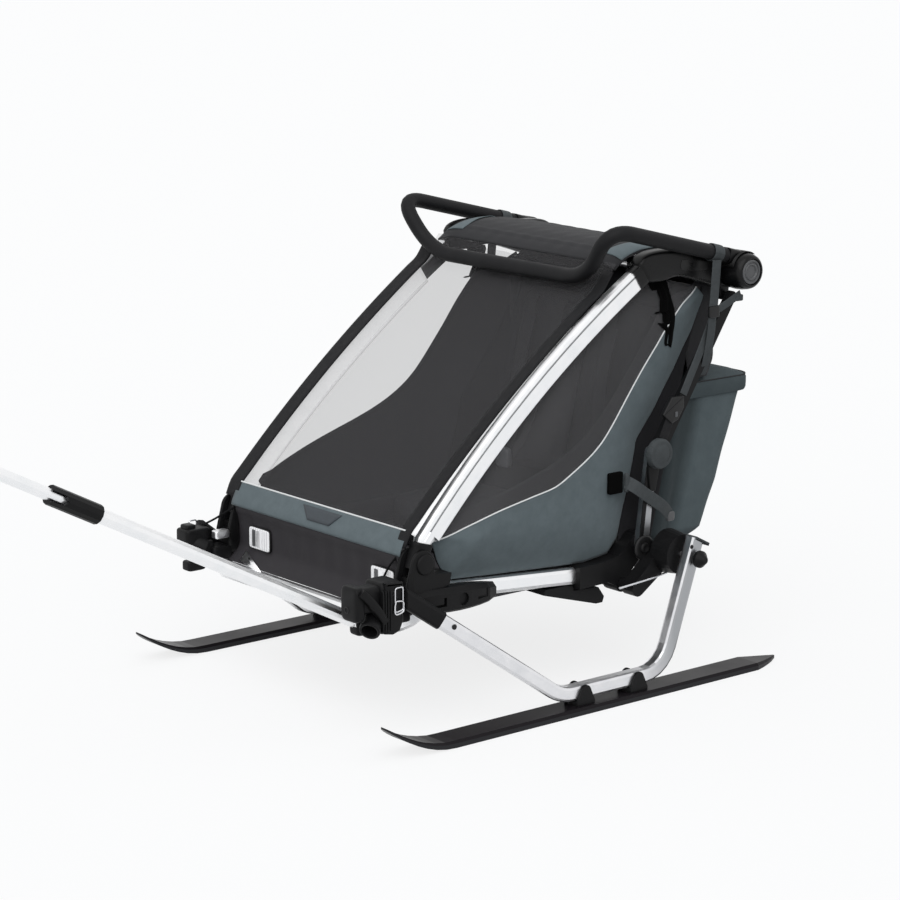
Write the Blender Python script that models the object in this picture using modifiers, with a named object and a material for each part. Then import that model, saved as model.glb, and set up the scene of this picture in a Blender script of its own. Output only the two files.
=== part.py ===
"""Two-seat child bike trailer, standing on its ski set with one tow arm.

Metres, +Z up, the front faces -Y and the trailer's left side is +X. The skis stand on Z = 0.
Pieces are drawn on working stations along Y, measured from a point 95 mm ahead of the ski tips.
At the end the whole trailer is moved so that the origin is under the middle of its box.
"""

import bpy
import bmesh
from math import atan2, cos, pi, radians, sin, sqrt, tan
from mathutils import Matrix, Vector

# Running clearance between neighbouring pieces
GAP = 0.0003

# Skis
SKI_TRACK = 0.756
SKI_LENGTH = 0.945
SKI_FRONT = 0.095
SKI_WIDTH = 0.060
SKI_THICK = 0.013
SKI_TIP_RISE = 0.055
SKI_TIP_LENGTH = 0.140
SKI_TAIL_LENGTH = 0.070

# Ski frames: bent rectangular tube, its front end in a sleeve on the receiver
SKI_TUBE_WIDE = 0.026
SKI_TUBE_DEEP = 0.028
SKI_TUBE_LIFT = 0.009
SKI_BEND_FRONT = 0.497
SKI_BEND_REAR = 0.745
SKI_BEND_RADIUS = 0.068
POST_ANGLE = radians(71)
POST_ABOVE_AXLE = 0.034
SLEEVE_X = SKI_TRACK / 2 - 0.072
SLEEVE_Y = 0.1968
SLEEVE_Z = 0.255
SLEEVE_LENGTH = 0.086
SLEEVE_WALL = 0.0025
SADDLE_STATIONS = (0.545, 0.674)
SADDLE_LENGTH = 0.042
SADDLE_EAR = 0.005
SADDLE_TOP = 0.050

# Rear axle
AXLE_Y = 0.814
AXLE_Z = 0.240
AXLE_PIN_RADIUS = 0.006
AXLE_BUTTON_RADIUS = 0.016
AXLE_BUTTON_LENGTH = 0.017
AXLE_BUTTON_STANDOFF = 0.006
AXLE_BUTTON_TRAVEL = 0.006

# Lower frame: one flat oval tube, low across the front and rising to the side rails
RAIL_X = SKI_TRACK / 2 - 0.120
RAIL_WIDE = 0.024
RAIL_TALL = 0.032
CROSSBAR_Y = 0.2095
CROSSBAR_Z = 0.1915
RAIL_FRONT_Y = 0.320
RAIL_FRONT_Z = 0.235
RAIL_REAR_Y = 0.660
RAIL_SLOPE = -0.080
RAIL_CORNER_RADIUS = 0.055

# Fold axis at the pillar feet, and the pillars
FOLD_Y = 0.260
FOLD_Z = 0.298
PILLAR_X = RAIL_X + 0.011
PILLAR_WIDE = 0.024
PILLAR_DEEP = 0.030
PILLAR_KNEE = (0.272, 0.336)
PILLAR_TOP = (0.775, 0.757)
PILLAR_BULGE = 0.024
PILLAR_TENON = 0.022
FOLD_RANGE = radians(26)

# Hubs at the top rear, where the handlebar turns
HUB_Y = 1.000
HUB_Z = 0.745
HUB_RADIUS = 0.036
HUB_INNER_X = PILLAR_X - 0.0155
HUB_OUTER_X = PILLAR_X + 0.0175
HUB_UNDERSIDE = ((0.788, 0.7405), (0.810, 0.7375), (0.832, 0.7385), (0.857, 0.7430), (0.878, 0.7405),
                 (0.905, 0.7325), (0.947, 0.7190))
HUB_TOP_LINE = ((0.950, 0.785), (0.905, 0.7915), (0.860, 0.7955), (0.820, 0.7965), (0.790, 0.7935),
                (0.771, 0.786))
ROOF_BOW = (0.800, 0.768)
HANDLE_HUB_LENGTH = 0.042
DIAL_RADIUS = 0.024
DIAL_LENGTH = 0.007
DIAL_TRAVEL = 0.004

# Folding rear uprights: pivots at the hub lug, the knee and the rear rail moulding
LUG_Y = 0.982
LUG_Z = 0.698
KNEE_Y = 0.797
KNEE_Z = 0.4245
REAR_PIVOT_Y = 0.776
REAR_PIVOT_Z = 0.252
LINK_THICK = 0.012
LOWER_LINK_X = PILLAR_X + 0.0185
UPPER_LINK_X = LOWER_LINK_X + LINK_THICK + 0.001
LINK_WIDE = 0.020
KNEE_KNOB_RADIUS = 0.022
KNEE_KNOB_THICK = 0.015

# Handlebar, folded forward over the roof
HANDLE_X = HUB_OUTER_X + 0.0155
HANDLE_RADIUS = 0.014
HANDLE_ARM_START = (0.9635, 0.7762)
HANDLE_RISE = (0.672, 0.850)
HANDLE_CROSS = (0.690, 0.749)
HANDLE_CROSS_HALF = HANDLE_X - 0.118
HANDLE_BEND = 0.064

# Roof, cover, seat and bag
ROOF_HALF = HUB_INNER_X - GAP
ROOF_THICK = 0.004
ROOF_LINE = ((0.7035, 0.7370), (0.712, 0.752), (0.735, 0.776), (0.765, 0.793), (0.810, 0.8035),
             (0.860, 0.8025), (0.920, 0.793), (0.985, 0.7785), (1.020, 0.764), (1.036, 0.740))
COVER_HALF = PILLAR_X - PILLAR_WIDE / 2 - 0.0008
COVER_THICK = 0.003
COVER_FOOT = (0.2340, 0.3100)
COVER_BAND_TOP = (0.2520, 0.3500)
COVER_TOP = (0.6975, 0.7290)
FRONT_PANEL_Y = 0.245
FRONT_PANEL_THICK = 0.004
FRONT_PANEL_HALF = RAIL_X - 0.015
REFLECTOR_X = RAIL_X - 0.0705
SEAT_HALF = RAIL_X - 0.026
SEAT_THICK = 0.1005
BENCH_FRONT = 0.560
BENCH_REAR = 0.800
BENCH_TOP = 0.300
BACK_FOOT = (0.838, 0.1998)
BACK_HEAD = (0.955, 0.690)
BACK_THICK = 0.034
SIDE_REAR_EDGE = ((0.748, 0.300), (0.762, 0.400), (0.800, 0.490), (0.870, 0.600), (0.909, 0.700),
                  (0.898, 0.7265))
SIDE_TOP = ((0.857, 0.7360), (0.828, 0.7310), (0.800, 0.7300))
SIDE_FRONT = ((0.300, 0.338), (0.755, 0.716))
SIDE_MIDDLE = (0.640, 0.440)
SIDE_THICK = 0.006
SIDE_BULGE = 0.032
BAG_HALF = RAIL_X - 0.013
FLOOR_HALF = RAIL_X - RAIL_WIDE / 2 - 0.0018
FLOOR_Z = 0.196
FLOOR_WALL = 0.003

# Receivers at the front corners
RECEIVER_INNER_X = RAIL_X - 0.0055
RECEIVER_OUTER_X = RECEIVER_INNER_X + 0.0595
RECEIVER_FRONT = 0.100
RECEIVER_REAR = 0.1962
RECEIVER_LOW = 0.190
RECEIVER_HIGH = 0.287
RECEIVER_EAR = 0.0100
BAIL_WIRE = 0.0015

# Side storage brackets on the rails
BRACKET_FRONT = 0.236
BRACKET_REAR = 0.430
BRACKET_OUTER_X = RAIL_X + 0.044
BRACKET_LOW = 0.203
BRACKET_HIGH = 0.250

# Tow arm in the left receiver
ARM_X = RECEIVER_INNER_X - 0.0135
ARM_PIVOT_Y = 0.150
ARM_PIVOT_Z = 0.2037
ARM_ANGLE = radians(27.53)
ARM_RADIUS = 0.0125
ARM_FRONT_RADIUS = 0.0105
ARM_LENGTH = 1.300
COUPLER_START = 0.610
COUPLER_LENGTH = 0.100
COUPLER_RADIUS = 0.017

# Beam, swing arms and brake
BEAM_Y = 0.735
BEAM_Z = 0.181
BEAM_RADIUS = 0.011
DRUM_RADIUS = 0.042
DRUM_OUTER_X = SKI_TRACK / 2 - SKI_TUBE_WIDE / 2 - 0.009
DRUM_INNER_X = DRUM_OUTER_X - 0.040
BEAM_HALF = DRUM_INNER_X - 0.0205
PEDAL_X = 0.120

BLACK_PLASTIC = ("black_plastic", (0.030, 0.030, 0.033), 0.45, 0.0)
ALUMINIUM = ("anodised_aluminium", (0.86, 0.87, 0.88), 0.30, 1.0)
SKI_BLACK = ("ski_black", (0.018, 0.016, 0.018), 0.30, 0.0)
FOAM = ("grip_foam", (0.045, 0.048, 0.048), 0.85, 0.0)
FABRIC_BLUE = ("blue_grey_fabric", (0.090, 0.118, 0.143), 0.90, 0.0)
FABRIC_DARK = ("charcoal_fabric", (0.055, 0.055, 0.060), 0.90, 0.0)
MESH_DARK = ("dark_window_mesh", (0.042, 0.042, 0.045), 0.80, 0.0)
STEEL = ("plated_steel", (0.72, 0.72, 0.74), 0.25, 1.0)


for leftover in list(bpy.data.objects):
    bpy.data.objects.remove(leftover, do_unlink=True)

trailer = bpy.data.collections.new("child_bike_trailer")
cutters = bpy.data.collections.new("cutters")
bpy.context.scene.collection.children.link(trailer)
bpy.context.scene.collection.children.link(cutters)


def material(finish):
    """One Principled material for each finish, shared by the pieces that have it."""
    name, colour, roughness, metallic = finish
    made = bpy.data.materials.get(name)
    if made is None:
        made = bpy.data.materials.new(name)
        made.use_nodes = True
        shader = made.node_tree.nodes["Principled BSDF"]
        shader.inputs["Base Color"].default_value = (*colour, 1.0)
        shader.inputs["Roughness"].default_value = roughness
        shader.inputs["Metallic"].default_value = metallic
        made.diffuse_color = (*colour, 1.0)
    return made


def add_piece(name, mesh, finish, collection=None):
    piece = bpy.data.objects.new(name, mesh)
    (collection or trailer).objects.link(piece)
    if finish is not None:
        mesh.materials.clear()
        mesh.materials.append(material(finish))
    return piece


def from_bmesh(name, shape, finish, collection=None, smooth=True):
    mesh = bpy.data.meshes.new(name)
    bmesh.ops.recalc_face_normals(shape, faces=shape.faces)
    shape.to_mesh(mesh)
    shape.free()
    if smooth:
        mesh.shade_smooth()
        mesh.set_sharp_from_angle(angle=radians(35))
    return add_piece(name, mesh, finish, collection)


def solid_from_curve(name, guide, finish, collection=None):
    """Turn a curve object into a welded mesh object in world coordinates and remove the curve."""
    bpy.context.view_layer.update()
    depsgraph = bpy.context.evaluated_depsgraph_get()
    mesh = bpy.data.meshes.new_from_object(guide.evaluated_get(depsgraph))
    mesh.transform(guide.matrix_world)
    bpy.data.objects.remove(guide, do_unlink=True)
    shape = bmesh.new()
    shape.from_mesh(mesh)
    bmesh.ops.remove_doubles(shape, verts=shape.verts, dist=0.00002)
    bpy.data.meshes.remove(mesh)
    return from_bmesh(name, shape, finish, collection)


def poly_curve(name, points, closed=False):
    curve = bpy.data.curves.new(name, "CURVE")
    spline = curve.splines.new("POLY")
    spline.points.add(len(points) - 1)
    for slot, point in zip(spline.points, points):
        slot.co = (*point, 0.0, 1.0) if len(point) == 2 else (*point, 1.0)
    spline.use_cyclic_u = closed
    return curve


def rounded_path(corners, radius, steps=5):
    """A polyline through the corners with each inner corner replaced by a round bend of the given radius."""
    points = [Vector(corners[0])]
    for before, corner, after in zip(corners, corners[1:], corners[2:]):
        before, corner, after = Vector(before), Vector(corner), Vector(after)
        back, ahead = (before - corner).normalized(), (after - corner).normalized()
        half = back.angle(ahead) / 2
        reach = min(radius / tan(half), 0.45 * (before - corner).length, 0.45 * (after - corner).length)
        centre = corner + (back + ahead).normalized() * reach / cos(half)
        start, end = corner + back * reach - centre, corner + ahead * reach - centre
        turn = pi - 2 * half
        for step in range(steps + 1):
            t = step / steps
            points.append(centre + (start * sin((1 - t) * turn) + end * sin(t * turn)) / sin(turn))
    points.append(Vector(corners[-1]))
    return points


def arc_through(start, end, bulge, steps):
    """Points of a round arc from start to end in a plane; bulge is its height over the chord."""
    start, end = Vector(start), Vector(end)
    chord = end - start
    side = Vector((-chord.y, chord.x)).normalized()
    radius = (chord.length ** 2 / 4 + bulge ** 2) / (2 * bulge)
    centre = (start + end) / 2 + side * (bulge - radius)
    first = atan2(*reversed(start - centre))
    last = atan2(*reversed(end - centre))
    return [centre + radius * Vector((cos(a), sin(a)))
            for a in (first + (last - first) * i / steps for i in range(steps + 1))]


def round_tube(name, path, radius, finish, resolution=2, collection=None, closed=False):
    curve = poly_curve(name, path, closed)
    curve.dimensions = "3D"
    curve.bevel_depth = radius
    curve.bevel_resolution = resolution
    curve.use_fill_caps = True
    guide = bpy.data.objects.new(name + "_guide", curve)
    cutters.objects.link(guide)
    return solid_from_curve(name, guide, finish, collection)


def oval_outline(wide, tall, corner, steps=2):
    """Outline of a rounded rectangle around the origin, counter-clockwise."""
    outline = []
    corner = min(corner, 0.499 * wide, 0.499 * tall)
    for quarter, (sx, sy) in enumerate(((1, 1), (-1, 1), (-1, -1), (1, -1))):
        cx = sx * (wide / 2 - corner)
        cy = sy * (tall / 2 - corner)
        for step in range(steps + 1):
            a = (quarter + step / steps) * pi / 2
            outline.append((cx + corner * cos(a), cy + corner * sin(a)))
    return outline


def shaped_tube(name, path, wide, tall, corner, finish, collection=None, steps=2):
    """A tube of rounded rectangular section: wide across, tall upright, swept along the path."""
    section = bpy.data.objects.new(name + "_section",
                                   poly_curve("section", oval_outline(wide, tall, corner, steps), True))
    cutters.objects.link(section)
    curve = poly_curve(name, path)
    curve.dimensions = "3D"
    curve.twist_mode = "Z_UP"
    curve.bevel_mode = "OBJECT"
    curve.bevel_object = section
    curve.use_fill_caps = True
    guide = bpy.data.objects.new(name + "_guide", curve)
    cutters.objects.link(guide)
    solid = solid_from_curve(name, guide, finish, collection)
    bpy.data.objects.remove(section, do_unlink=True)
    return solid


def side_plate(name, outline, low_x, high_x, finish, collection=None):
    """A flat (Y, Z) outline made solid between two planes of constant X."""
    curve = poly_curve(name, outline, True)
    curve.dimensions = "2D"
    curve.fill_mode = "BOTH"
    curve.extrude = abs(high_x - low_x) / 2
    guide = bpy.data.objects.new(name + "_guide", curve)
    cutters.objects.link(guide)
    guide.matrix_world = Matrix(((0, 0, 1, (low_x + high_x) / 2), (1, 0, 0, 0), (0, 1, 0, 0), (0, 0, 0, 1)))
    return solid_from_curve(name, guide, finish, collection)


def box(name, low, high, finish, bevel=0.0, collection=None):
    size = [b - a for a, b in zip(low, high)]
    centre = [(a + b) / 2 for a, b in zip(low, high)]
    shape = bmesh.new()
    bmesh.ops.create_cube(shape, size=1.0)
    bmesh.ops.scale(shape, vec=size, verts=shape.verts)
    bmesh.ops.translate(shape, vec=centre, verts=shape.verts)
    if bevel > 0:
        bmesh.ops.bevel(shape, geom=shape.edges, offset=bevel, segments=2, profile=0.5, affect="EDGES")
    return from_bmesh(name, shape, finish, collection)


def x_cylinder(name, low_x, high_x, y, z, radius, finish, sides=24, collection=None, far_radius=None):
    """A cylinder, or a cone frustum, with its axis along X."""
    shape = bmesh.new()
    bmesh.ops.create_cone(shape, cap_ends=True, segments=sides, radius1=radius,
                          radius2=radius if far_radius is None else far_radius, depth=abs(high_x - low_x))
    turn = Matrix.Rotation(radians(90), 4, "Y")
    if high_x < low_x:
        turn = Matrix.Rotation(radians(-90), 4, "Y")
    bmesh.ops.transform(shape, matrix=Matrix.Translation(((low_x + high_x) / 2, y, z)) @ turn,
                        verts=shape.verts)
    return from_bmesh(name, shape, finish, collection)


def turned(name, profile, y, z, finish, sides=24, side=1, sharp=35):
    """Revolve an (X, radius) profile about an axis along X through (y, z)."""
    mesh = bpy.data.meshes.new(name)
    shape = bmesh.new()
    rows = [shape.verts.new((radius, 0.0, -x)) for x, radius in profile]
    for a, b in zip(rows, rows[1:]):
        shape.edges.new((a, b))
    shape.to_mesh(mesh)
    shape.free()
    piece = bpy.data.objects.new(name, mesh)
    cutters.objects.link(piece)
    screw = piece.modifiers.new("turn", "SCREW")
    screw.axis = "Z"
    screw.steps = sides
    screw.render_steps = sides
    screw.use_merge_vertices = True
    screw.merge_threshold = 0.00001
    bpy.context.view_layer.update()
    depsgraph = bpy.context.evaluated_depsgraph_get()
    made = bpy.data.meshes.new_from_object(piece.evaluated_get(depsgraph))
    bpy.data.objects.remove(piece, do_unlink=True)
    shape = bmesh.new()
    shape.from_mesh(made)
    bpy.data.meshes.remove(made)
    bmesh.ops.remove_doubles(shape, verts=shape.verts, dist=0.00001)
    turn = Matrix(((0, 0, -side, 0), (0, 1, 0, y), (side, 0, 0, z), (0, 0, 0, 1)))
    bmesh.ops.transform(shape, matrix=turn, verts=shape.verts)
    return from_bmesh(name, shape, finish)


def loft(name, rings, finish, collection=None):
    """Skin closed rings of equal length and cap both ends."""
    shape = bmesh.new()
    rows = [[shape.verts.new(point) for point in ring] for ring in rings]
    count = len(rows[0])
    for near, far in zip(rows, rows[1:]):
        for i in range(count):
            j = (i + 1) % count
            shape.faces.new((near[i], near[j], far[j], far[i]))
    shape.faces.new(rows[0])
    shape.faces.new(rows[-1])
    return from_bmesh(name, shape, finish, collection)


def boolean(piece, other, operation="DIFFERENCE"):
    """Cut or join with the EXACT solver; the other shape is kept as a hidden cutter."""
    other.hide_render = True
    other.display_type = "WIRE"
    step = piece.modifiers.new(other.name, "BOOLEAN")
    step.operation = operation
    step.object = other
    step.solver = "EXACT"
    return piece


def disc_outline(y, z, radius, first, last, steps):
    return [(y + radius * cos(first + (last - first) * i / steps),
             z + radius * sin(first + (last - first) * i / steps)) for i in range(steps + 1)]


def link_outline(start, end, start_radius, end_radius, steps=8):
    """Outline of a bar with two round ends, seen from +X."""
    lean = atan2(end[1] - start[1], end[0] - start[0])
    outline = disc_outline(*start, start_radius, lean + pi / 2, lean + 3 * pi / 2, steps)
    outline += disc_outline(*end, end_radius, lean - pi / 2, lean + pi / 2, steps)
    return outline


def rail_z(y):
    """Height of the side rail's centre line at a station."""
    return RAIL_FRONT_Z + RAIL_SLOPE * (y - RAIL_FRONT_Y)


def sides():
    return (("left", 1), ("right", -1))


def ski_underside(y):
    """Height of the ski's running face: flat, with an upturned tip and a slightly lifted tail."""
    tip = SKI_FRONT + SKI_TIP_LENGTH - y
    tail = y - (SKI_FRONT + SKI_LENGTH - SKI_TAIL_LENGTH)
    lift = SKI_TIP_RISE * (max(tip, 0) / SKI_TIP_LENGTH) ** 2
    return lift + 0.004 * (max(tail, 0) / SKI_TAIL_LENGTH) ** 2


def ski_half_width(y):
    tip = min((y - SKI_FRONT) / (0.75 * SKI_TIP_LENGTH), 1.0)
    tail = min((SKI_FRONT + SKI_LENGTH - y) / SKI_TAIL_LENGTH, 1.0)
    return SKI_WIDTH / 2 * max(0.10, sqrt(1 - (1 - tip) ** 2)) * max(0.08, tail ** 0.7)


def make_ski(name, side):
    """Lofted ski: bevelled top edges, thinner at the tip and the tail."""
    tip_steps, tail_steps = 9, 5
    flat = SKI_FRONT + SKI_TIP_LENGTH
    tail = SKI_FRONT + SKI_LENGTH - SKI_TAIL_LENGTH
    stations = [SKI_FRONT + SKI_TIP_LENGTH * (i / tip_steps) ** 1.5 for i in range(tip_steps)]
    stations += [flat + (tail - flat) * i / 3 for i in range(3)]
    stations += [tail + SKI_TAIL_LENGTH * (1 - (1 - i / tail_steps) ** 1.6) for i in range(tail_steps + 1)]
    rings = []
    for y in stations:
        half = ski_half_width(y)
        low = ski_underside(y)
        thick = SKI_THICK * min(1.0, 0.40 + 0.60 * half / (SKI_WIDTH / 2))
        thick *= min(1.0, 0.55 + 0.45 * (y - SKI_FRONT) / SKI_TIP_LENGTH)
        edge = min(0.25 * half, 0.35 * thick)
        profile = ((-half, low), (half, low), (half, low + thick - edge), (half - edge, low + thick),
                   (edge - half, low + thick), (-half, low + thick - edge))
        rings.append([(side * SKI_TRACK / 2 + x, y, z) for x, z in profile])
    return loft(name, rings, SKI_BLACK)


def ski_frame_path(side):
    run_z = SKI_THICK + SKI_TUBE_LIFT + SKI_TUBE_DEEP / 2
    x = SKI_TRACK / 2
    post_length = (AXLE_Z + POST_ABOVE_AXLE - run_z) / sin(POST_ANGLE)
    foot_y = AXLE_Y - (AXLE_Z - run_z) / sin(POST_ANGLE) * cos(POST_ANGLE)
    corners = [(SLEEVE_X, SLEEVE_Y, SLEEVE_Z), (x, SKI_BEND_FRONT, run_z), (x, foot_y, run_z),
               (x, foot_y + post_length * cos(POST_ANGLE), run_z + post_length * sin(POST_ANGLE))]
    return [Vector((side * point.x, point.y, point.z)) for point in rounded_path(corners, SKI_BEND_RADIUS)]


def cut_path(path, skip, length):
    """The stretch of a path that starts after skip metres and runs for length metres."""
    kept, walked = [], 0.0
    for a, b in zip(path, path[1:]):
        step = (b - a).length
        for limit in (skip, skip + length):
            if walked < limit <= walked + step:
                kept.append(a.lerp(b, (limit - walked) / step))
        walked += step
        if skip < walked < skip + length:
            kept.append(b)
    return kept


def make_ski_set(word, side):
    """Ski, bent frame, front sleeve, two saddles and the quick-release axle of one side."""
    make_ski(f"ski_{word}", side)
    path = ski_frame_path(side)
    whole = sum((b - a).length for a, b in zip(path, path[1:]))
    tube_start = 0.030
    frame = shaped_tube(f"ski_frame_{word}", cut_path(path, tube_start, whole - tube_start)
                        + [path[-1]], SKI_TUBE_WIDE, SKI_TUBE_DEEP, 0.006, ALUMINIUM)
    hole = x_cylinder(f"cut_axle_hole_{word}", side * (SKI_TRACK / 2 - 0.02), side * (SKI_TRACK / 2 + 0.02),
                      AXLE_Y, AXLE_Z, AXLE_PIN_RADIUS + GAP, None, 16, cutters)
    boolean(frame, hole)
    ahead = (path[0] - path[1]).normalized() * 0.022
    sleeve = shaped_tube(f"ski_frame_sleeve_{word}",
                         [path[0] + ahead] + cut_path(path, 0.0001, SLEEVE_LENGTH),
                         SKI_TUBE_WIDE + 2 * SLEEVE_WALL, SKI_TUBE_DEEP + 2 * SLEEVE_WALL, 0.007,
                         BLACK_PLASTIC)
    boolean(sleeve, box(f"cut_sleeve_end_{word}",
                        (side * SLEEVE_X - 0.05, RECEIVER_REAR - 0.08, SLEEVE_Z - 0.06),
                        (side * SLEEVE_X + 0.05, RECEIVER_REAR + GAP, SLEEVE_Z + 0.06), None, 0, cutters))
    pocket = shaped_tube(f"cut_sleeve_{word}", cut_path(path, tube_start - GAP, SLEEVE_LENGTH),
                         SKI_TUBE_WIDE + 2 * GAP, SKI_TUBE_DEEP + 2 * GAP, 0.006, None, cutters)
    boolean(sleeve, pocket)
    for place, station in zip(("front", "rear"), SADDLE_STATIONS):
        make_saddle(f"ski_saddle_{place}_{word}", station, side)
    pin_low = DRUM_OUTER_X - 0.020
    pin_high = SKI_TRACK / 2 + SKI_TUBE_WIDE / 2 + AXLE_BUTTON_STANDOFF
    turned(f"axle_pin_{word}", ((pin_low, 0), (pin_low, AXLE_PIN_RADIUS), (pin_high, AXLE_PIN_RADIUS),
                                (pin_high, 0)), AXLE_Y, AXLE_Z, ALUMINIUM, 16, side)
    start = pin_high + GAP + AXLE_BUTTON_TRAVEL
    r = AXLE_BUTTON_RADIUS
    tip = start + AXLE_BUTTON_LENGTH
    bore = AXLE_PIN_RADIUS + 2 * GAP
    turned(f"axle_button_{word}", ((start, 0), (start, bore), (pin_high - 0.0013, bore),
                                   (pin_high - 0.0013, 0.8 * r), (start - 0.002, r), (start + 0.004, r),
                                   (start + 0.009, 0.72 * r), (tip - 0.003, 0.50 * r), (tip, 0.30 * r),
                                   (tip, 0)), AXLE_Y, AXLE_Z, BLACK_PLASTIC, 20, side)


def make_saddle(name, station, side):
    """Moulded saddle screwed to the ski, with two ears that hold the frame tube."""
    x = side * SKI_TRACK / 2
    half = SKI_TUBE_WIDE / 2 + GAP + SADDLE_EAR
    low = SKI_THICK + GAP
    ear = 0.011
    outline = [(station - SADDLE_LENGTH / 2, low), (station + SADDLE_LENGTH / 2, low),
               (station + SADDLE_LENGTH / 2, low + 0.006)]
    outline += disc_outline(station, SADDLE_TOP - ear, ear, 0.15 * pi, 0.85 * pi, 6)
    outline += [(station - SADDLE_LENGTH / 2, low + 0.006)]
    saddle = side_plate(name, outline, x - half, x + half, BLACK_PLASTIC)
    slot = box(f"cut_{name}", (x - half + SADDLE_EAR, station - 0.05, SKI_THICK + SKI_TUBE_LIFT - GAP),
               (x + half - SADDLE_EAR, station + 0.05, SADDLE_TOP + 0.05), None, 0, cutters)
    return boolean(saddle, slot)


def rail_path():
    """Centre line of the lower frame, from the left rear end round the front to the right rear end."""
    half = [(RAIL_X, RAIL_REAR_Y, rail_z(RAIL_REAR_Y)), (RAIL_X, RAIL_FRONT_Y, RAIL_FRONT_Z),
            (RAIL_X, CROSSBAR_Y + 0.040, CROSSBAR_Z + 0.006), (RAIL_X, CROSSBAR_Y, CROSSBAR_Z)]
    mirrored = [(-x, y, z) for x, y, z in reversed(half)]
    return rounded_path(half + mirrored, RAIL_CORNER_RADIUS, 5)


def rail_cutter(name):
    return shaped_tube(name, rail_path(), RAIL_WIDE + 2 * GAP, RAIL_TALL + 2 * GAP, 0.008, None, cutters)


def make_lower_frame():
    shaped_tube("lower_frame", rail_path(), RAIL_WIDE, RAIL_TALL, 0.008, ALUMINIUM)


def make_corner_casting(word, side):
    """Clevis on the rail that carries the pillar's foot: a saddle block and two round ears."""
    clear = 0.0006
    inner = PILLAR_X - PILLAR_WIDE / 2 - clear
    outer = PILLAR_X + PILLAR_WIDE / 2 + clear
    ear = 0.0085
    radius = 0.021
    base_top = FOLD_Z - 0.024
    base_low = CROSSBAR_Z + 0.012
    outline = [(FOLD_Y - 0.022, base_low), (FOLD_Y + 0.052, rail_z(FOLD_Y + 0.052)),
               (FOLD_Y + 0.060, base_top), (FOLD_Y + radius, base_top + 0.004)]
    outline += disc_outline(FOLD_Y, FOLD_Z, radius, 0, pi, 8)
    outline += [(FOLD_Y - 0.026, base_top)]
    casting = side_plate(f"corner_casting_{word}", outline, side * (inner - ear), side * (outer + ear),
                         BLACK_PLASTIC)
    slot = box(f"cut_clevis_{word}", (side * PILLAR_X - (outer - inner) / 2, FOLD_Y - 0.05, base_top),
               (side * PILLAR_X + (outer - inner) / 2, FOLD_Y + 0.09, FOLD_Z + 0.05), None, 0, cutters)
    boolean(casting, slot)
    boolean(casting, rail_cutter(f"cut_rail_casting_{word}"))
    beside = RAIL_X + RAIL_WIDE / 2 + 0.0150
    outside = box(f"cut_casting_side_{word}", (side * beside - 0.0150, FOLD_Y - 0.05, base_low - 0.01),
                  (side * beside + 0.0150, FOLD_Y + 0.09, BRACKET_HIGH + 0.003), None, 0, cutters)
    boolean(casting, outside)


def pillar_path():
    """Centre line of a pillar in (Y, Z): straight foot, a shallow round bow, a tenon in the moulding."""
    bow = arc_through(PILLAR_KNEE, PILLAR_TOP, PILLAR_BULGE, 12)
    tenon = bow[-1] + (bow[-1] - bow[-2]).normalized() * PILLAR_TENON
    return [Vector((FOLD_Y, FOLD_Z))] + bow + [tenon]


def make_pillar(word, side):
    """Curved flat-oval extrusion with a lengthwise groove in its outer face and a round foot."""
    path = [Vector((side * PILLAR_X, p.x, p.y)) for p in pillar_path()]
    pillar = shaped_tube(f"pillar_{word}", path, PILLAR_WIDE, PILLAR_DEEP, 0.007, ALUMINIUM)
    outer = side * (PILLAR_X + PILLAR_WIDE / 2)
    groove_path = [Vector((outer, p.y, p.z)) + groove_shift() for p in path[1:]]
    groove_path[0] = groove_path[0] + (groove_path[0] - groove_path[1]).normalized() * 0.004
    groove_path[-1] = groove_path[-1] + (groove_path[-1] - groove_path[-2]).normalized() * 0.01
    boolean(pillar, shaped_tube(f"cut_groove_{word}", groove_path, 0.003, 0.0035, 0.0004, None, cutters, 1))


def groove_shift():
    """The groove lies a little in front of the extrusion's middle."""
    return Vector((0.0, -0.0035, 0.0037))


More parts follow.
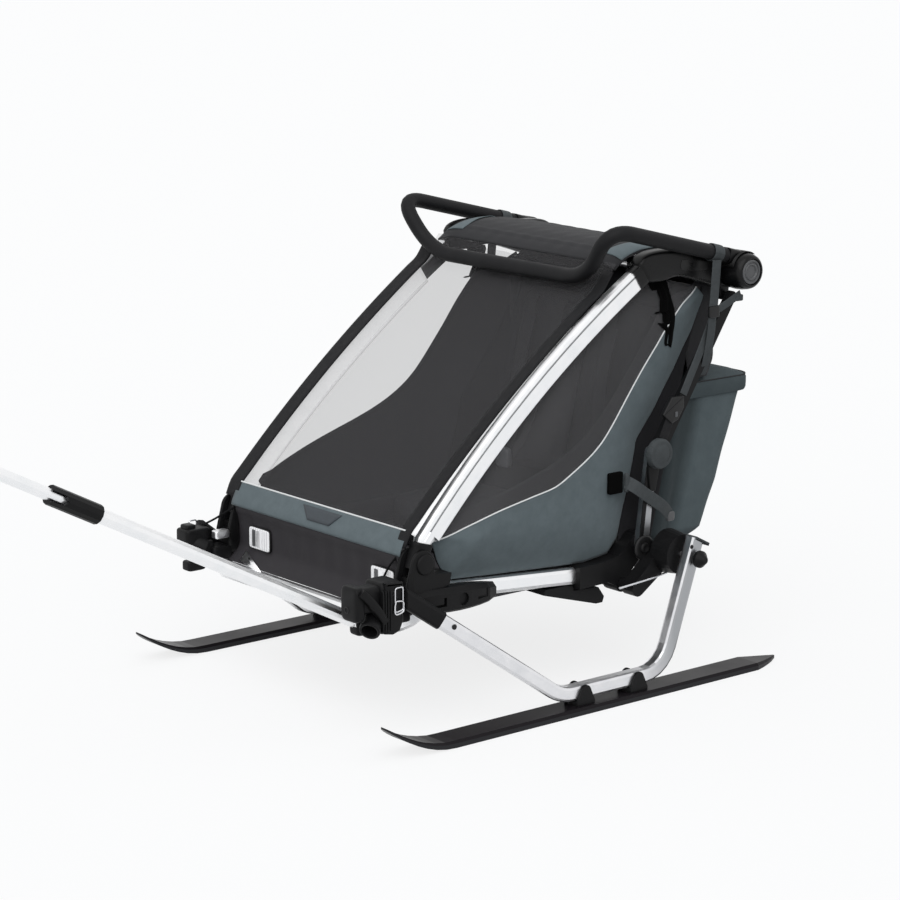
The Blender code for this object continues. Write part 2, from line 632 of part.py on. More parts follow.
def make_hub_moulding(word, side):
    """Side moulding over the pillar's top, with the inner half of the hub drum and the upright's lug."""
    outline = [*HUB_UNDERSIDE, (HUB_Y - 0.020, HUB_Z - 0.030)]
    outline += disc_outline(HUB_Y, HUB_Z, HUB_RADIUS, -0.35 * pi, 0.5 * pi, 9)
    outline += [*HUB_TOP_LINE, (PILLAR_TOP[0] - 0.0125, PILLAR_TOP[1] + 0.0150)]
    hub = side_plate(f"hub_moulding_{word}", outline, side * HUB_INNER_X, side * HUB_OUTER_X, BLACK_PLASTIC)
    lug = side_plate(f"join_lug_{word}",
                     link_outline((LUG_Y - 0.002, LUG_Z + 0.030), (LUG_Y, LUG_Z), 0.014, 0.010, 6),
                     side * (HUB_OUTER_X - 0.020), side * (HUB_OUTER_X - 0.0002), None, cutters)
    boolean(hub, lug, "UNION")
    boss_end = UPPER_LINK_X - LINK_THICK / 2 - GAP
    boss = x_cylinder(f"join_boss_{word}", side * (HUB_OUTER_X - 0.015), side * boss_end, LUG_Y, LUG_Z,
                      0.0065, None, 16, cutters)
    boolean(hub, boss, "UNION")
    socket_path = [Vector((side * PILLAR_X, p.x, p.y)) for p in pillar_path()[-3:]]
    tail = socket_path[-1] + (socket_path[-1] - socket_path[-2]).normalized() * 3 * GAP
    socket = shaped_tube(f"cut_pillar_socket_{word}", socket_path + [tail], PILLAR_WIDE + 2 * GAP,
                         PILLAR_DEEP + 2 * GAP, 0.007, None, cutters)
    boolean(hub, socket)
    place = box(f"cut_badge_place_{word}", (side * HUB_OUTER_X - 0.0008, HUB_Y - 0.132, HUB_Z + 0.005),
                (side * HUB_OUTER_X + 0.0008, HUB_Y - 0.064, HUB_Z + 0.029), None, 0, cutters)
    boolean(hub, place)
    tube_seat = x_cylinder(f"cut_cross_tube_{word}", side * (HUB_INNER_X - 0.01),
                           side * (HUB_INNER_X + 0.008), HUB_Y, HUB_Z, 0.011 + GAP, None, 20, cutters)
    boolean(hub, tube_seat)
    bow_seat = x_cylinder(f"cut_roof_bow_{word}", side * (HUB_INNER_X - 0.01), side * (HUB_INNER_X + 0.005),
                          *ROOF_BOW, 0.009 + GAP, None, 20, cutters)
    boolean(hub, bow_seat)


def make_cross_tubes():
    reach = HUB_INNER_X + 0.0075
    x_cylinder("rear_cross_tube", -reach, reach, HUB_Y, HUB_Z, 0.011, ALUMINIUM, 20)
    bow_reach = HUB_INNER_X + 0.0028
    x_cylinder("roof_bow", -bow_reach, bow_reach, *ROOF_BOW, 0.009, ALUMINIUM, 20)


def make_handlebar():
    """Foam-covered tube: two side arms from the hubs, bent down to the grip in front of the roof."""
    half = [(HANDLE_X, *HANDLE_ARM_START), (HANDLE_X, *HANDLE_RISE), (HANDLE_CROSS_HALF, *HANDLE_CROSS)]
    corners = half + [(-x, y, z) for x, y, z in reversed(half)]
    round_tube("handlebar", rounded_path(corners, HANDLE_BEND, 6), HANDLE_RADIUS, FOAM, 3)
    hub_low = HUB_OUTER_X + 2 * GAP
    hub_high = hub_low + HANDLE_HUB_LENGTH
    for word, side in sides():
        hub = turned(f"handlebar_hub_{word}",
                     ((hub_low, 0), (hub_low, HUB_RADIUS - 0.002), (hub_low + 0.002, HUB_RADIUS),
                      (hub_high - 0.004, HUB_RADIUS), (hub_high, HUB_RADIUS - 0.004),
                      (hub_high, DIAL_RADIUS + GAP), (hub_high - 0.008, DIAL_RADIUS + GAP),
                      (hub_high - 0.008, 0)), HUB_Y, HUB_Z, BLACK_PLASTIC, 28, side)
        start = Vector((side * HANDLE_X, *HANDLE_ARM_START))
        ahead = Vector((side * HANDLE_X, *HANDLE_RISE))
        along = (ahead - start).normalized()
        collar = shaped_tube(f"join_collar_{word}", [start - along * 0.040, start - along * GAP], 0.027,
                             0.028, 0.008, None, cutters)
        boolean(hub, collar, "UNION")
        dial_start = hub_high - 0.008 + GAP + DIAL_TRAVEL
        dial_end = dial_start + DIAL_LENGTH
        turned(f"hub_dial_{word}", ((dial_start, 0), (dial_start, DIAL_RADIUS),
                                    (dial_end - 0.002, DIAL_RADIUS), (dial_end, DIAL_RADIUS - 0.003),
                                    (dial_end, 0.014), (dial_end - 0.0015, 0.012), (dial_end - 0.0015, 0)),
               HUB_Y, HUB_Z, BLACK_PLASTIC, 28, side)


def make_uprights(word, side):
    """The two hinged links of one rear upright, with the round knee knob on the upper one."""
    knee, lug, foot = (KNEE_Y, KNEE_Z), (LUG_Y, LUG_Z), (REAR_PIVOT_Y, REAR_PIVOT_Z)
    half = LINK_THICK / 2
    side_plate(f"upright_lower_{word}", link_outline(foot, knee, 0.013, LINK_WIDE / 2),
               side * (LOWER_LINK_X - half), side * (LOWER_LINK_X + half), ALUMINIUM)
    upper = side_plate(f"upright_upper_{word}", link_outline(knee, lug, 0.016, 0.0095),
                       side * (UPPER_LINK_X - half), side * (UPPER_LINK_X + half), BLACK_PLASTIC)
    knob_low = UPPER_LINK_X + half - 0.001
    knob = x_cylinder(f"join_knob_{word}", side * knob_low, side * (knob_low + KNEE_KNOB_THICK), KNEE_Y,
                      KNEE_Z, KNEE_KNOB_RADIUS, None, 24, cutters, KNEE_KNOB_RADIUS * 0.8)
    boolean(upper, knob, "UNION")


def make_rail_moulding(word, side):
    """Moulding on the rail's rear end, sweeping up to the round boss of the upright's foot."""
    end = RAIL_REAR_Y
    low = rail_z(end) - RAIL_TALL / 2
    high = rail_z(end) + RAIL_TALL / 2
    outline = [(end - 0.030, low - 0.004), (BEAM_Y - 0.035, low - 0.002)]
    outline += disc_outline(BEAM_Y, BEAM_Z, BEAM_RADIUS + 0.004, -pi, 0, 8)
    outline += [(BEAM_Y + 0.022, low + 0.010)]
    outline += disc_outline(REAR_PIVOT_Y, REAR_PIVOT_Z, 0.022, -0.30 * pi, 0.85 * pi, 9)
    outline += [(0.725, high + 0.012), (0.690, high + 0.006), (end - 0.030, high + 0.005)]
    outer = LOWER_LINK_X - LINK_THICK / 2 - GAP
    inner = RAIL_X - RAIL_WIDE / 2 - 0.0015
    moulding = side_plate(f"rail_moulding_{word}", outline, side * inner, side * outer, BLACK_PLASTIC)
    end_seat = shaped_tube(f"cut_rail_end_{word}",
                           [Vector((side * RAIL_X, end - 0.06, rail_z(end - 0.06))),
                            Vector((side * RAIL_X, end + 3 * GAP, rail_z(end + 3 * GAP)))],
                           RAIL_WIDE + 2 * GAP, RAIL_TALL + 2 * GAP, 0.008, None, cutters)
    boolean(moulding, end_seat)
    boolean(moulding, x_cylinder(f"cut_beam_{word}", side * (inner - 0.01), side * (outer + 0.01), BEAM_Y,
                                 BEAM_Z, BEAM_RADIUS + GAP, None, 20, cutters))


def make_beam_and_arms():
    """Cross beam under the rear mouldings, and a swing arm with its hub drum on each end."""
    x_cylinder("axle_beam", -BEAM_HALF, BEAM_HALF, BEAM_Y, BEAM_Z, BEAM_RADIUS, BLACK_PLASTIC, 20)
    for word, side in sides():
        arm_low, arm_high = BEAM_HALF + GAP, DRUM_INNER_X + 0.010
        arm = side_plate(f"suspension_arm_{word}",
                         link_outline((BEAM_Y, BEAM_Z), (AXLE_Y, AXLE_Z), 0.015, 0.020), side * arm_low,
                         side * arm_high, BLACK_PLASTIC)
        drum = x_cylinder(f"join_drum_{word}", side * DRUM_INNER_X, side * DRUM_OUTER_X, AXLE_Y, AXLE_Z,
                          DRUM_RADIUS, None, 28, cutters, DRUM_RADIUS * 0.88)
        boolean(arm, drum, "UNION")
        bore = x_cylinder(f"cut_drum_bore_{word}", side * (DRUM_OUTER_X - 0.020 - GAP),
                          side * (DRUM_OUTER_X + 0.01), AXLE_Y, AXLE_Z, AXLE_PIN_RADIUS + GAP, None, 16,
                          cutters)
        boolean(arm, bore)


def make_foot_plate(word, side):
    """Wedge-shaped stand plate under the rail's rear half."""
    outline = [(0.560, 0.1955), (0.606, 0.1955), (0.626, 0.1938), (0.628, 0.1830), (0.690, 0.1795),
               (0.704, 0.160), (0.700, 0.149), (0.684, 0.149), (0.556, 0.186)]
    side_plate(f"foot_plate_{word}", outline, side * (RAIL_X - 0.044), side * (RAIL_X + 0.008), BLACK_PLASTIC)


def make_receiver(word, side):
    """Front corner receiver: a ribbed body, open on the right and with the arm's clamp on the left."""
    inner, outer = RECEIVER_INNER_X, RECEIVER_OUTER_X
    front, rear, low, high = RECEIVER_FRONT, RECEIVER_REAR, RECEIVER_LOW, RECEIVER_HIGH
    body_front = front + 0.048
    body = [(body_front, low + 0.010), (body_front + 0.010, low), (rear - 0.014, low),
            (rear - 0.003, low + 0.006), (rear, low + 0.018), (rear, high - 0.012),
            (rear - 0.008, high - 0.002), (rear - 0.018, high), (body_front, high - 0.004)]
    receiver = side_plate(f"receiver_{word}", body, side * inner, side * outer, BLACK_PLASTIC)
    hug = box(f"join_hug_{word}", (side * (inner + 0.018) - 0.0178, rear - 0.010, 0.200),
              (side * (inner + 0.018) + 0.0178, 0.2325, 0.234), None, 0, cutters)
    boolean(receiver, hug, "UNION")
    if side > 0:
        add_arm_clamp(receiver)
    boolean(receiver, rail_cutter(f"cut_rail_receiver_{word}"))
    if side < 0:
        boolean(receiver, side_plate("cut_opening",
                                     [(body_front - 0.01, low + 0.030), (body_front + 0.012, low + 0.030),
                                      (body_front + 0.020, low + 0.038), (body_front + 0.020, high - 0.030),
                                      (body_front + 0.012, high - 0.022), (body_front - 0.01, high - 0.022)],
                                     side * (inner + 0.012), side * (outer - 0.014), None, cutters))
    for rib in range(3):
        y = front + 0.060 + 0.006 * rib
        groove = box(f"cut_rib_{rib}_{word}", (side * outer - 0.0015, y, low - 0.01),
                     (side * outer + 0.0015, y + 0.0025, high - 0.030), None, 0, cutters)
        boolean(receiver, groove)


def add_arm_clamp(receiver):
    """The tow arm's clamp: front plate, slanted socket, and the cradle round the arm's knuckle."""
    inner, outer = RECEIVER_INNER_X, RECEIVER_OUTER_X
    front, rear, low, high = RECEIVER_FRONT, RECEIVER_REAR, RECEIVER_LOW, RECEIVER_HIGH
    outline = [(front + 0.016, low + 0.034), (front + 0.040, low + 0.004), (front + 0.060, low),
               (front + 0.060, high - 0.002), (front + 0.044, high - 0.002), (front + 0.016, high - 0.010)]
    boolean(receiver, side_plate("join_clamp", outline, inner + 0.0004, outer - 0.0006, None, cutters),
            "UNION")
    plate = side_plate("join_front_plate",
                       [(front + 0.003, low + 0.029), (front + 0.020, low + 0.027),
                        (front + 0.020, high - 0.004), (front + 0.008, high - 0.004), (front, high - 0.014),
                        (front, low + 0.034)], inner + 0.004, inner + 0.046, None, cutters)
    boolean(receiver, plate, "UNION")
    ear_inner = ARM_X - ARM_RADIUS - GAP - RECEIVER_EAR
    cradle = side_plate("join_cradle", [(0.136, 0.196), (0.146, 0.184), (0.160, 0.179), (0.1970, 0.179),
                                        (0.1970, 0.226), (0.150, 0.226), (0.136, 0.216)], ear_inner,
                        inner + 0.003, None, cutters)
    boolean(receiver, cradle, "UNION")
    slot = box("cut_arm_slot", (ARM_X - ARM_RADIUS - GAP, front - 0.02, low - 0.03),
               (ARM_X + ARM_RADIUS + GAP, ARM_PIVOT_Y + ARM_RADIUS + 0.002, high), None, 0, cutters)
    boolean(receiver, slot)
    socket = side_plate("cut_socket", [(front + 0.019, low + 0.036), (front + 0.040, low + 0.008),
                                       (front + 0.056, low + 0.008), (front + 0.052, low + 0.022),
                                       (front + 0.036, low + 0.046), (front + 0.026, low + 0.050)],
                        outer - 0.020, outer + 0.01, None, cutters)
    boolean(receiver, socket)
    trough = box("cut_trough", (outer - 0.0125, front - 0.01, low + 0.052),
                 (outer - 0.0035, front + 0.026, high + 0.01), None, 0, cutters)
    boolean(receiver, trough)


def bail_axis():
    """Height and X of the axis about which the wire bail swings outward."""
    return RECEIVER_OUTER_X + BAIL_WIRE + GAP, RECEIVER_HIGH - 0.012


def make_bail(word, side):
    """Closed wire loop hinged by its top run on the receiver's outer face."""
    x, top = bail_axis()
    rear = RECEIVER_REAR - 0.004
    corners = [(side * x, rear - 0.008, top), (side * x, rear, top), (side * x, rear, top - 0.040),
               (side * x, rear - 0.017, top - 0.044), (side * x, rear - 0.017, top),
               (side * x, rear - 0.008, top)]
    path = rounded_path(corners, 0.004, 3)
    round_tube(f"receiver_bail_{word}", path[:-1], BAIL_WIRE, STEEL, 1, None, True)


def make_storage_bracket(word, side):
    """Moulded side bracket that stores the wheel kit arms: bowed outside, with three recesses."""
    inner = RAIL_X + RAIL_WIDE / 2 + GAP
    rings = []
    steps = 8
    for i in range(steps + 1):
        t = i / steps
        y = BRACKET_FRONT + (BRACKET_REAR - BRACKET_FRONT) * t
        bow = (BRACKET_OUTER_X - inner) * (0.35 + 0.65 * sin(pi * min(1.0, 0.15 + 0.85 * t)) ** 0.5)
        low = BRACKET_LOW + 0.006 * (2 * t - 1) ** 2 + 0.004 * (1 - t)
        high = BRACKET_HIGH - 0.014 * t ** 3
        rings.append([(side * inner, y, low), (side * (inner + bow - 0.004), y, low),
                      (side * (inner + bow), y, low + 0.004), (side * (inner + bow), y, high - 0.008),
                      (side * (inner + bow - 0.010), y, high), (side * inner, y, high)])
    bracket = loft(f"storage_bracket_{word}", rings, BLACK_PLASTIC)
    round_y = 0.5 * (BRACKET_FRONT + BRACKET_REAR) + 0.006
    mid_z = 0.5 * (BRACKET_LOW + BRACKET_HIGH) - 0.001
    reach = 0.006
    hole = x_cylinder(f"cut_bracket_round_{word}", side * (BRACKET_OUTER_X - reach),
                      side * (BRACKET_OUTER_X + 0.01), round_y, mid_z, 0.0115, None, 20, cutters)
    boolean(bracket, hole)
    for index, y in enumerate((round_y - 0.052, round_y + 0.048)):
        outline = [(y - 0.013, mid_z - 0.007), (y + 0.013, mid_z - 0.007), (y + 0.013, mid_z + 0.009),
                   (y + 0.007, mid_z + 0.009), (y + 0.007, mid_z - 0.002), (y - 0.013, mid_z - 0.002)]
        boolean(bracket, side_plate(f"cut_bracket_{index}_{word}", outline, side * (BRACKET_OUTER_X - 0.009),
                                    side * (BRACKET_OUTER_X + 0.01), None, cutters))


def along_arm(distance, offset=0.0):
    """A point on the tow arm's centre line, offset square to it in the arm's upright plane."""
    return Vector((ARM_X, ARM_PIVOT_Y - distance * cos(ARM_ANGLE) + offset * sin(ARM_ANGLE),
                   ARM_PIVOT_Z + distance * sin(ARM_ANGLE) + offset * cos(ARM_ANGLE)))


def make_tow_arm():
    """Tow arm: tongue and rear tube, forked coupler, front tube that telescopes, and an end eye."""
    rear = round_tube("tow_arm_rear", [along_arm(0.004), along_arm(COUPLER_START + 0.030)], ARM_RADIUS,
                      ALUMINIUM, 4)
    knuckle = x_cylinder("join_knuckle", ARM_X - ARM_RADIUS, ARM_X + ARM_RADIUS, ARM_PIVOT_Y, ARM_PIVOT_Z,
                         ARM_RADIUS + 0.0004, None, 24, cutters)
    boolean(rear, knuckle, "UNION")
    bore_depth = 0.120
    bore = round_tube("cut_arm_bore", [along_arm(COUPLER_START + 0.030 - bore_depth),
                                       along_arm(COUPLER_START + 0.050)], ARM_FRONT_RADIUS + GAP, None, 4,
                      cutters)
    boolean(rear, bore)
    coupler = round_tube("arm_coupler",
                         [along_arm(COUPLER_START - 0.022), along_arm(COUPLER_START - 0.010),
                          along_arm(COUPLER_START + COUPLER_LENGTH - 0.022)], COUPLER_RADIUS, BLACK_PLASTIC,
                         4)
    seat = round_tube("cut_coupler_seat",
                      [along_arm(COUPLER_START - 0.040), along_arm(COUPLER_START + 0.030 + GAP)],
                      ARM_RADIUS + GAP, None, 4, cutters)
    boolean(coupler, seat)
    through = round_tube("cut_coupler_through", [along_arm(COUPLER_START), along_arm(COUPLER_START + 0.2)],
                         ARM_FRONT_RADIUS + GAP, None, 4, cutters)
    boolean(coupler, through)
    mouth = COUPLER_START + 0.048
    fork = loft("cut_coupler_fork", [[along_arm(d, o) + Vector((x, 0, 0))
                                      for d, o in ((mouth, 0.0), (mouth + 0.006, -0.008),
                                                   (mouth + 0.1, -0.010), (mouth + 0.1, 0.010),
                                                   (mouth + 0.006, 0.008))] for x in (-0.03, 0.03)], None,
                cutters)
    boolean(coupler, fork)
    front_start = COUPLER_START + 0.030 - bore_depth + 0.002
    round_tube("tow_arm_front", [along_arm(front_start), along_arm(ARM_LENGTH)], ARM_FRONT_RADIUS, ALUMINIUM,
               4)
    eye = round_tube("arm_end_fitting", [along_arm(ARM_LENGTH - 0.040), along_arm(ARM_LENGTH + 0.030)],
                     0.0145, BLACK_PLASTIC, 4)
    ring_centre = along_arm(ARM_LENGTH + 0.046)
    ring = x_cylinder("join_eye", ARM_X - 0.008, ARM_X + 0.008, ring_centre.y, ring_centre.z, 0.019, None, 24,
                      cutters)
    boolean(eye, ring, "UNION")
    eye_bore = x_cylinder("cut_eye_bore", ARM_X - 0.03, ARM_X + 0.03, ring_centre.y, ring_centre.z, 0.008,
                          None, 16, cutters)
    boolean(eye, eye_bore)
    eye_seat = round_tube("cut_eye_seat", [along_arm(ARM_LENGTH - 0.060), along_arm(ARM_LENGTH + GAP)],
                          ARM_FRONT_RADIUS + GAP, None, 4, cutters)
    boolean(eye, eye_seat)


def make_brake_pedal():
    """Foot pedal of the parking brake, hinged on the beam's rear side."""
    hinge_y = BEAM_Y + BEAM_RADIUS + 0.0125
    pedal = x_cylinder("brake_pedal", PEDAL_X - 0.022, PEDAL_X + 0.022, hinge_y, BEAM_Z, 0.012, BLACK_PLASTIC,
                       16)
    tread = side_plate("join_tread", [(hinge_y, BEAM_Z - 0.006), (hinge_y + 0.090, BEAM_Z - 0.006),
                                      (hinge_y + 0.098, BEAM_Z + 0.004), (hinge_y + 0.086, BEAM_Z + 0.006),
                                      (hinge_y, BEAM_Z + 0.006)], PEDAL_X - 0.020, PEDAL_X + 0.020, None,
                       cutters)
    boolean(pedal, tread, "UNION")


def make_floor():
    """Floor of the cabin: a coated fabric tray between the rails."""
    front, rear = CROSSBAR_Y + RAIL_WIDE / 2 + 0.046, BENCH_REAR + 0.072
    floor = box("floor_tub", (-FLOOR_HALF, front, FLOOR_Z), (FLOOR_HALF, rear, FLOOR_Z + 0.026), FABRIC_DARK)
    inside = box("cut_floor", (FLOOR_WALL - FLOOR_HALF, front + FLOOR_WALL, FLOOR_Z + FLOOR_WALL),
                 (FLOOR_HALF - FLOOR_WALL, rear - FLOOR_WALL, FLOOR_Z + 0.1), None, 0, cutters)
    boolean(floor, inside)


def make_front_panel():
    """Black front panel over the crossbar, with the recesses of the two reflectors."""
    low = CROSSBAR_Z + RAIL_TALL / 2 + 2 * GAP
    high = COVER_FOOT[1] - 0.0016
    front = FRONT_PANEL_Y
    outline = [(CROSSBAR_Y - 0.008, low), (CROSSBAR_Y + 0.002, low), (front + FRONT_PANEL_THICK, low + 0.020),
               (front + FRONT_PANEL_THICK, high - 0.012), (COVER_FOOT[0] + 0.002, high),
               (COVER_FOOT[0] - 0.002, high), (front, high - 0.014), (front, low + 0.022)]
    panel = side_plate("front_panel", outline, -FRONT_PANEL_HALF, FRONT_PANEL_HALF, BLACK_PLASTIC)
    boolean(panel, rail_cutter("cut_rail_panel"))
    for word, side in sides():
        recess = box(f"cut_reflector_{word}", (side * REFLECTOR_X - 0.030, front - 0.01, 0.239),
                     (side * REFLECTOR_X + 0.030, front + 0.0015, 0.279), None, 0, cutters)
        boolean(panel, recess)


def cover_profile():
    """Outer line of the front cover in (Y, Z), from its foot up over the band to the window's top."""
    bow = arc_through(COVER_BAND_TOP, COVER_TOP, PILLAR_BULGE * 0.62, 8)
    return [Vector(COVER_FOOT)] + bow


def sheet_solid(name, line, thick, half, finish):
    """A sheet that follows a (Y, Z) line, thick towards its right-hand side, across the width."""
    inner = []
    for i, point in enumerate(line):
        before = line[max(i - 1, 0)]
        after = line[min(i + 1, len(line) - 1)]
        along = (after - before).normalized()
        inner.append(point + Vector((along.y, -along.x)) * thick)
    outline = [tuple(p) for p in line] + [tuple(p) for p in reversed(inner)]
    return side_plate(name, outline, -half, half, finish)


def make_front_cover():
    sheet_solid("front_cover", cover_profile(), COVER_THICK, COVER_HALF, MESH_DARK)


def make_roof():
    """Roof fabric from the window's top edge over the roof bow to the rear cross tube."""
    sheet_solid("roof_canopy", [Vector(p) for p in ROOF_LINE], ROOF_THICK, ROOF_HALF, FABRIC_DARK)


def side_panel_outline():
    """Outline of a side panel in (Y, Z): along the rail, up the upright, under the hub, down the pillar."""
    lower = [(0.335, rail_z(0.335) + 0.0175), (0.440, rail_z(0.440) + 0.0185),
             (0.550, rail_z(0.550) + 0.0200), (RAIL_REAR_Y, rail_z(RAIL_REAR_Y) + 0.0220), (0.720, 0.2370),
             (0.735, 0.262)]
    down = [tuple(p) for p in reversed(arc_through(*SIDE_FRONT, 0.022, 6))][1:]
    return lower + [*SIDE_REAR_EDGE, *SIDE_TOP] + down + [(0.325, 0.262)]


def make_side_panel(word, side):
    """Side fabric, bowed outwards between pillar, rail and upright: rings drawn in to its middle."""
    outer = PILLAR_X - PILLAR_WIDE / 2 - 2 * GAP
    edge = [Vector(p) for p in side_panel_outline()]
    middle = Vector(SIDE_MIDDLE)
    shape = bmesh.new()
    faces = []
    for layer in (0.0, SIDE_THICK):
        rows = []
        for scale in (1.0, 0.88, 0.70, 0.45):
            x = side * (outer - layer + SIDE_BULGE * (1 - scale ** 2.2))
            rows.append([shape.verts.new((x, *(middle + (p - middle) * scale))) for p in edge])
        pole = shape.verts.new((side * (outer - layer + SIDE_BULGE), *middle))
        for near, far in zip(rows, rows[1:]):
            for i in range(len(edge)):
                shape.faces.new((near[i - 1], near[i], far[i], far[i - 1]))
        for i in range(len(edge)):
            shape.faces.new((rows[-1][i - 1], rows[-1][i], pole))
        faces.append(rows[0])
    for i in range(len(edge)):
        shape.faces.new((faces[0][i - 1], faces[0][i], faces[1][i], faces[1][i - 1]))
    from_bmesh(f"side_panel_{word}", shape, FABRIC_BLUE)


def cushion(name, corners, half_x, thick, finish, puff=0.30):
    """A padded slab between two (Y, Z) points: crowned face, sides drawn in between the corners."""
    start, end = Vector(corners[0]), Vector(corners[1])
    along = (end - start).normalized()
    up = Vector((-along.y, along.x))
    length = (end - start).length
    rings = []
    nx, ny = 12, 8
    for j in range(ny + 1):
        v = -1 + 2 * j / ny
        ring = []
        for i in range(nx + 1):
            u = -1 + 2 * i / nx
            ring.append((u, v, 1))
        for i in range(nx, -1, -1):
            u = -1 + 2 * i / nx
            ring.append((u, v, 0))
        points = []
        for u, v2, top in ring:
            crown = (1 - u ** 4) * (1 - v2 ** 4)
            channel = 0.10 * (1 - min(1.0, abs(u) / 0.08)) * crown
            pull = 1 - 0.02 * (1 - v2 * v2)
            h = thick * (1 - puff + puff * crown - channel) if top else 0.0
            y, z = start + along * (length * (v2 + 1) / 2) + up * h
            points.append((half_x * u * pull, y, z))
        rings.append(points)
    return loft(name, rings, finish)


def make_seat():
    cushion("seat_bench", ((BENCH_FRONT, BENCH_TOP - SEAT_THICK), (BENCH_REAR, BENCH_TOP - SEAT_THICK)),
            SEAT_HALF, SEAT_THICK, FABRIC_DARK)
    cushion("seat_back", (BACK_FOOT, BACK_HEAD), SEAT_HALF, BACK_THICK, FABRIC_DARK)


def make_bag():
    """Cargo bag behind the seat: narrower at the foot, with a lid that overhangs it."""
    sections = ((0.224, 1.000, BAG_HALF - 0.023), (0.245, 1.016, BAG_HALF - 0.013),
                (0.330, 1.042, BAG_HALF - 0.007), (0.440, 1.076, BAG_HALF - 0.003),
                (0.500, 1.094, BAG_HALF - 0.003), (0.506, 1.104, BAG_HALF + 0.002),
                (0.527, 1.104, BAG_HALF + 0.002), (0.552, 1.028, BAG_HALF))
    lean = (BACK_HEAD[0] - BACK_FOOT[0]) / (BACK_HEAD[1] - BACK_FOOT[1])
    rings = []
    for z, rear, half in sections:
        front = BACK_FOOT[0] + lean * (z - BACK_FOOT[1]) + 2 * GAP
        centre = (front + rear) / 2
        rings.append([(x, centre + y, z) for x, y in oval_outline(2 * half, rear - front, 0.030, 2)])
    loft("cargo_bag", rings, FABRIC_BLUE)


def axis_empty(name, point, pieces):
    """An empty on a joint's axis that carries the pieces which move about it."""
    empty = bpy.data.objects.new(name, None)
    trailer.objects.link(empty)
    empty.location = point
    for piece in pieces:
        child = bpy.data.objects[piece]
        child.parent = empty
        child.matrix_parent_inverse = Matrix.Translation(-Vector(point))
    return empty


def hang_under(child, parent):
    """Let one joint's empty ride on another's."""
    child.parent = parent
    child.matrix_parent_inverse = Matrix.Translation(-parent.location)


def rig():
    """Parent every moving piece to an empty on its joint's axis."""
    fold = axis_empty("axis_fold", (0, FOLD_Y, FOLD_Z),
                      ["pillar_left", "pillar_right", "hub_moulding_left", "hub_moulding_right",
                       "rear_cross_tube", "roof_bow", "roof_canopy", "front_cover"])
    handle = axis_empty("axis_handlebar", (0, HUB_Y, HUB_Z),
                        ["handlebar", "handlebar_hub_left", "handlebar_hub_right"])
    hang_under(handle, fold)
    for word, side in sides():
        hang_under(axis_empty(f"axis_hub_dial_{word}",
                              (side * (HUB_OUTER_X + HANDLE_HUB_LENGTH), HUB_Y, HUB_Z), [f"hub_dial_{word}"]),
                   handle)
        hang_under(axis_empty(f"axis_upright_upper_{word}", (side * UPPER_LINK_X, LUG_Y, LUG_Z),
                              [f"upright_upper_{word}"]), fold)
        axis_empty(f"axis_upright_lower_{word}", (side * LOWER_LINK_X, REAR_PIVOT_Y, REAR_PIVOT_Z),
                   [f"upright_lower_{word}"])
        axis_empty(f"axis_axle_button_{word}", (side * (SKI_TRACK / 2 + 0.042), AXLE_Y, AXLE_Z),
                   [f"axle_button_{word}"])
        bail_x, bail_z = bail_axis()
        axis_empty(f"axis_bail_{word}", (side * bail_x, RECEIVER_REAR - 0.012, bail_z),
                   [f"receiver_bail_{word}"])
    axis_empty("axis_brake", (PEDAL_X, BEAM_Y + BEAM_RADIUS + 0.0125, BEAM_Z), ["brake_pedal"])
    arm = axis_empty("axis_tow_arm", (ARM_X, ARM_PIVOT_Y, ARM_PIVOT_Z), ["tow_arm_rear", "arm_coupler"])
    slide = axis_empty("axis_arm_slide", along_arm(COUPLER_START), ["tow_arm_front", "arm_end_fitting"])
    hang_under(slide, arm)


def centre_on_origin():
    """Move the trailer so that the origin lies on the ground under the middle of its box."""
    bpy.context.view_layer.update()
    depsgraph = bpy.context.evaluated_depsgraph_get()
    low, high = Vector((9, 9, 9)), Vector((-9, -9, -9))
    for piece in trailer.objects:
        if piece.type != "MESH":
            continue
        made = piece.evaluated_get(depsgraph)
        for vertex in made.data.vertices:
            point = made.matrix_world @ vertex.co
            low = Vector(map(min, low, point))
            high = Vector(map(max, high, point))
    shift = Vector((-(low.x + high.x) / 2, -(low.y + high.y) / 2, -low.z))
    for piece in (*trailer.objects, *cutters.objects):
        if piece.parent is None:
            piece.location += shift
    bpy.context.view_layer.update()
    print("box", [round(v, 4) for v in low + shift], [round(v, 4) for v in high + shift])
    print("shift", [round(v, 5) for v in shift])


make_lower_frame()
for word, side in sides():
    make_ski_set(word, side)
    make_corner_casting(word, side)
    make_pillar(word, side)
    make_hub_moulding(word, side)
    make_uprights(word, side)
    make_rail_moulding(word, side)
    make_foot_plate(word, side)
    make_receiver(word, side)
    make_bail(word, side)
    make_storage_bracket(word, side)
    make_side_panel(word, side)
make_cross_tubes()
make_handlebar()
make_beam_and_arms()
make_tow_arm()
make_brake_pedal()
make_floor()
make_front_panel()
make_front_cover()
make_roof()
make_seat()
make_bag()
rig()
centre_on_origin()
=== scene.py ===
"""Looks of a two-seat child bike trailer on skis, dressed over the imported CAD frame.

Lengths are metres. Y stations are counted as in the CAD source, from 95 mm ahead of the ski tips.
Every mesh made here is moved by ROW_SHIFT into the row frame when it is built.
"""
from math import cos, pi, radians, sin

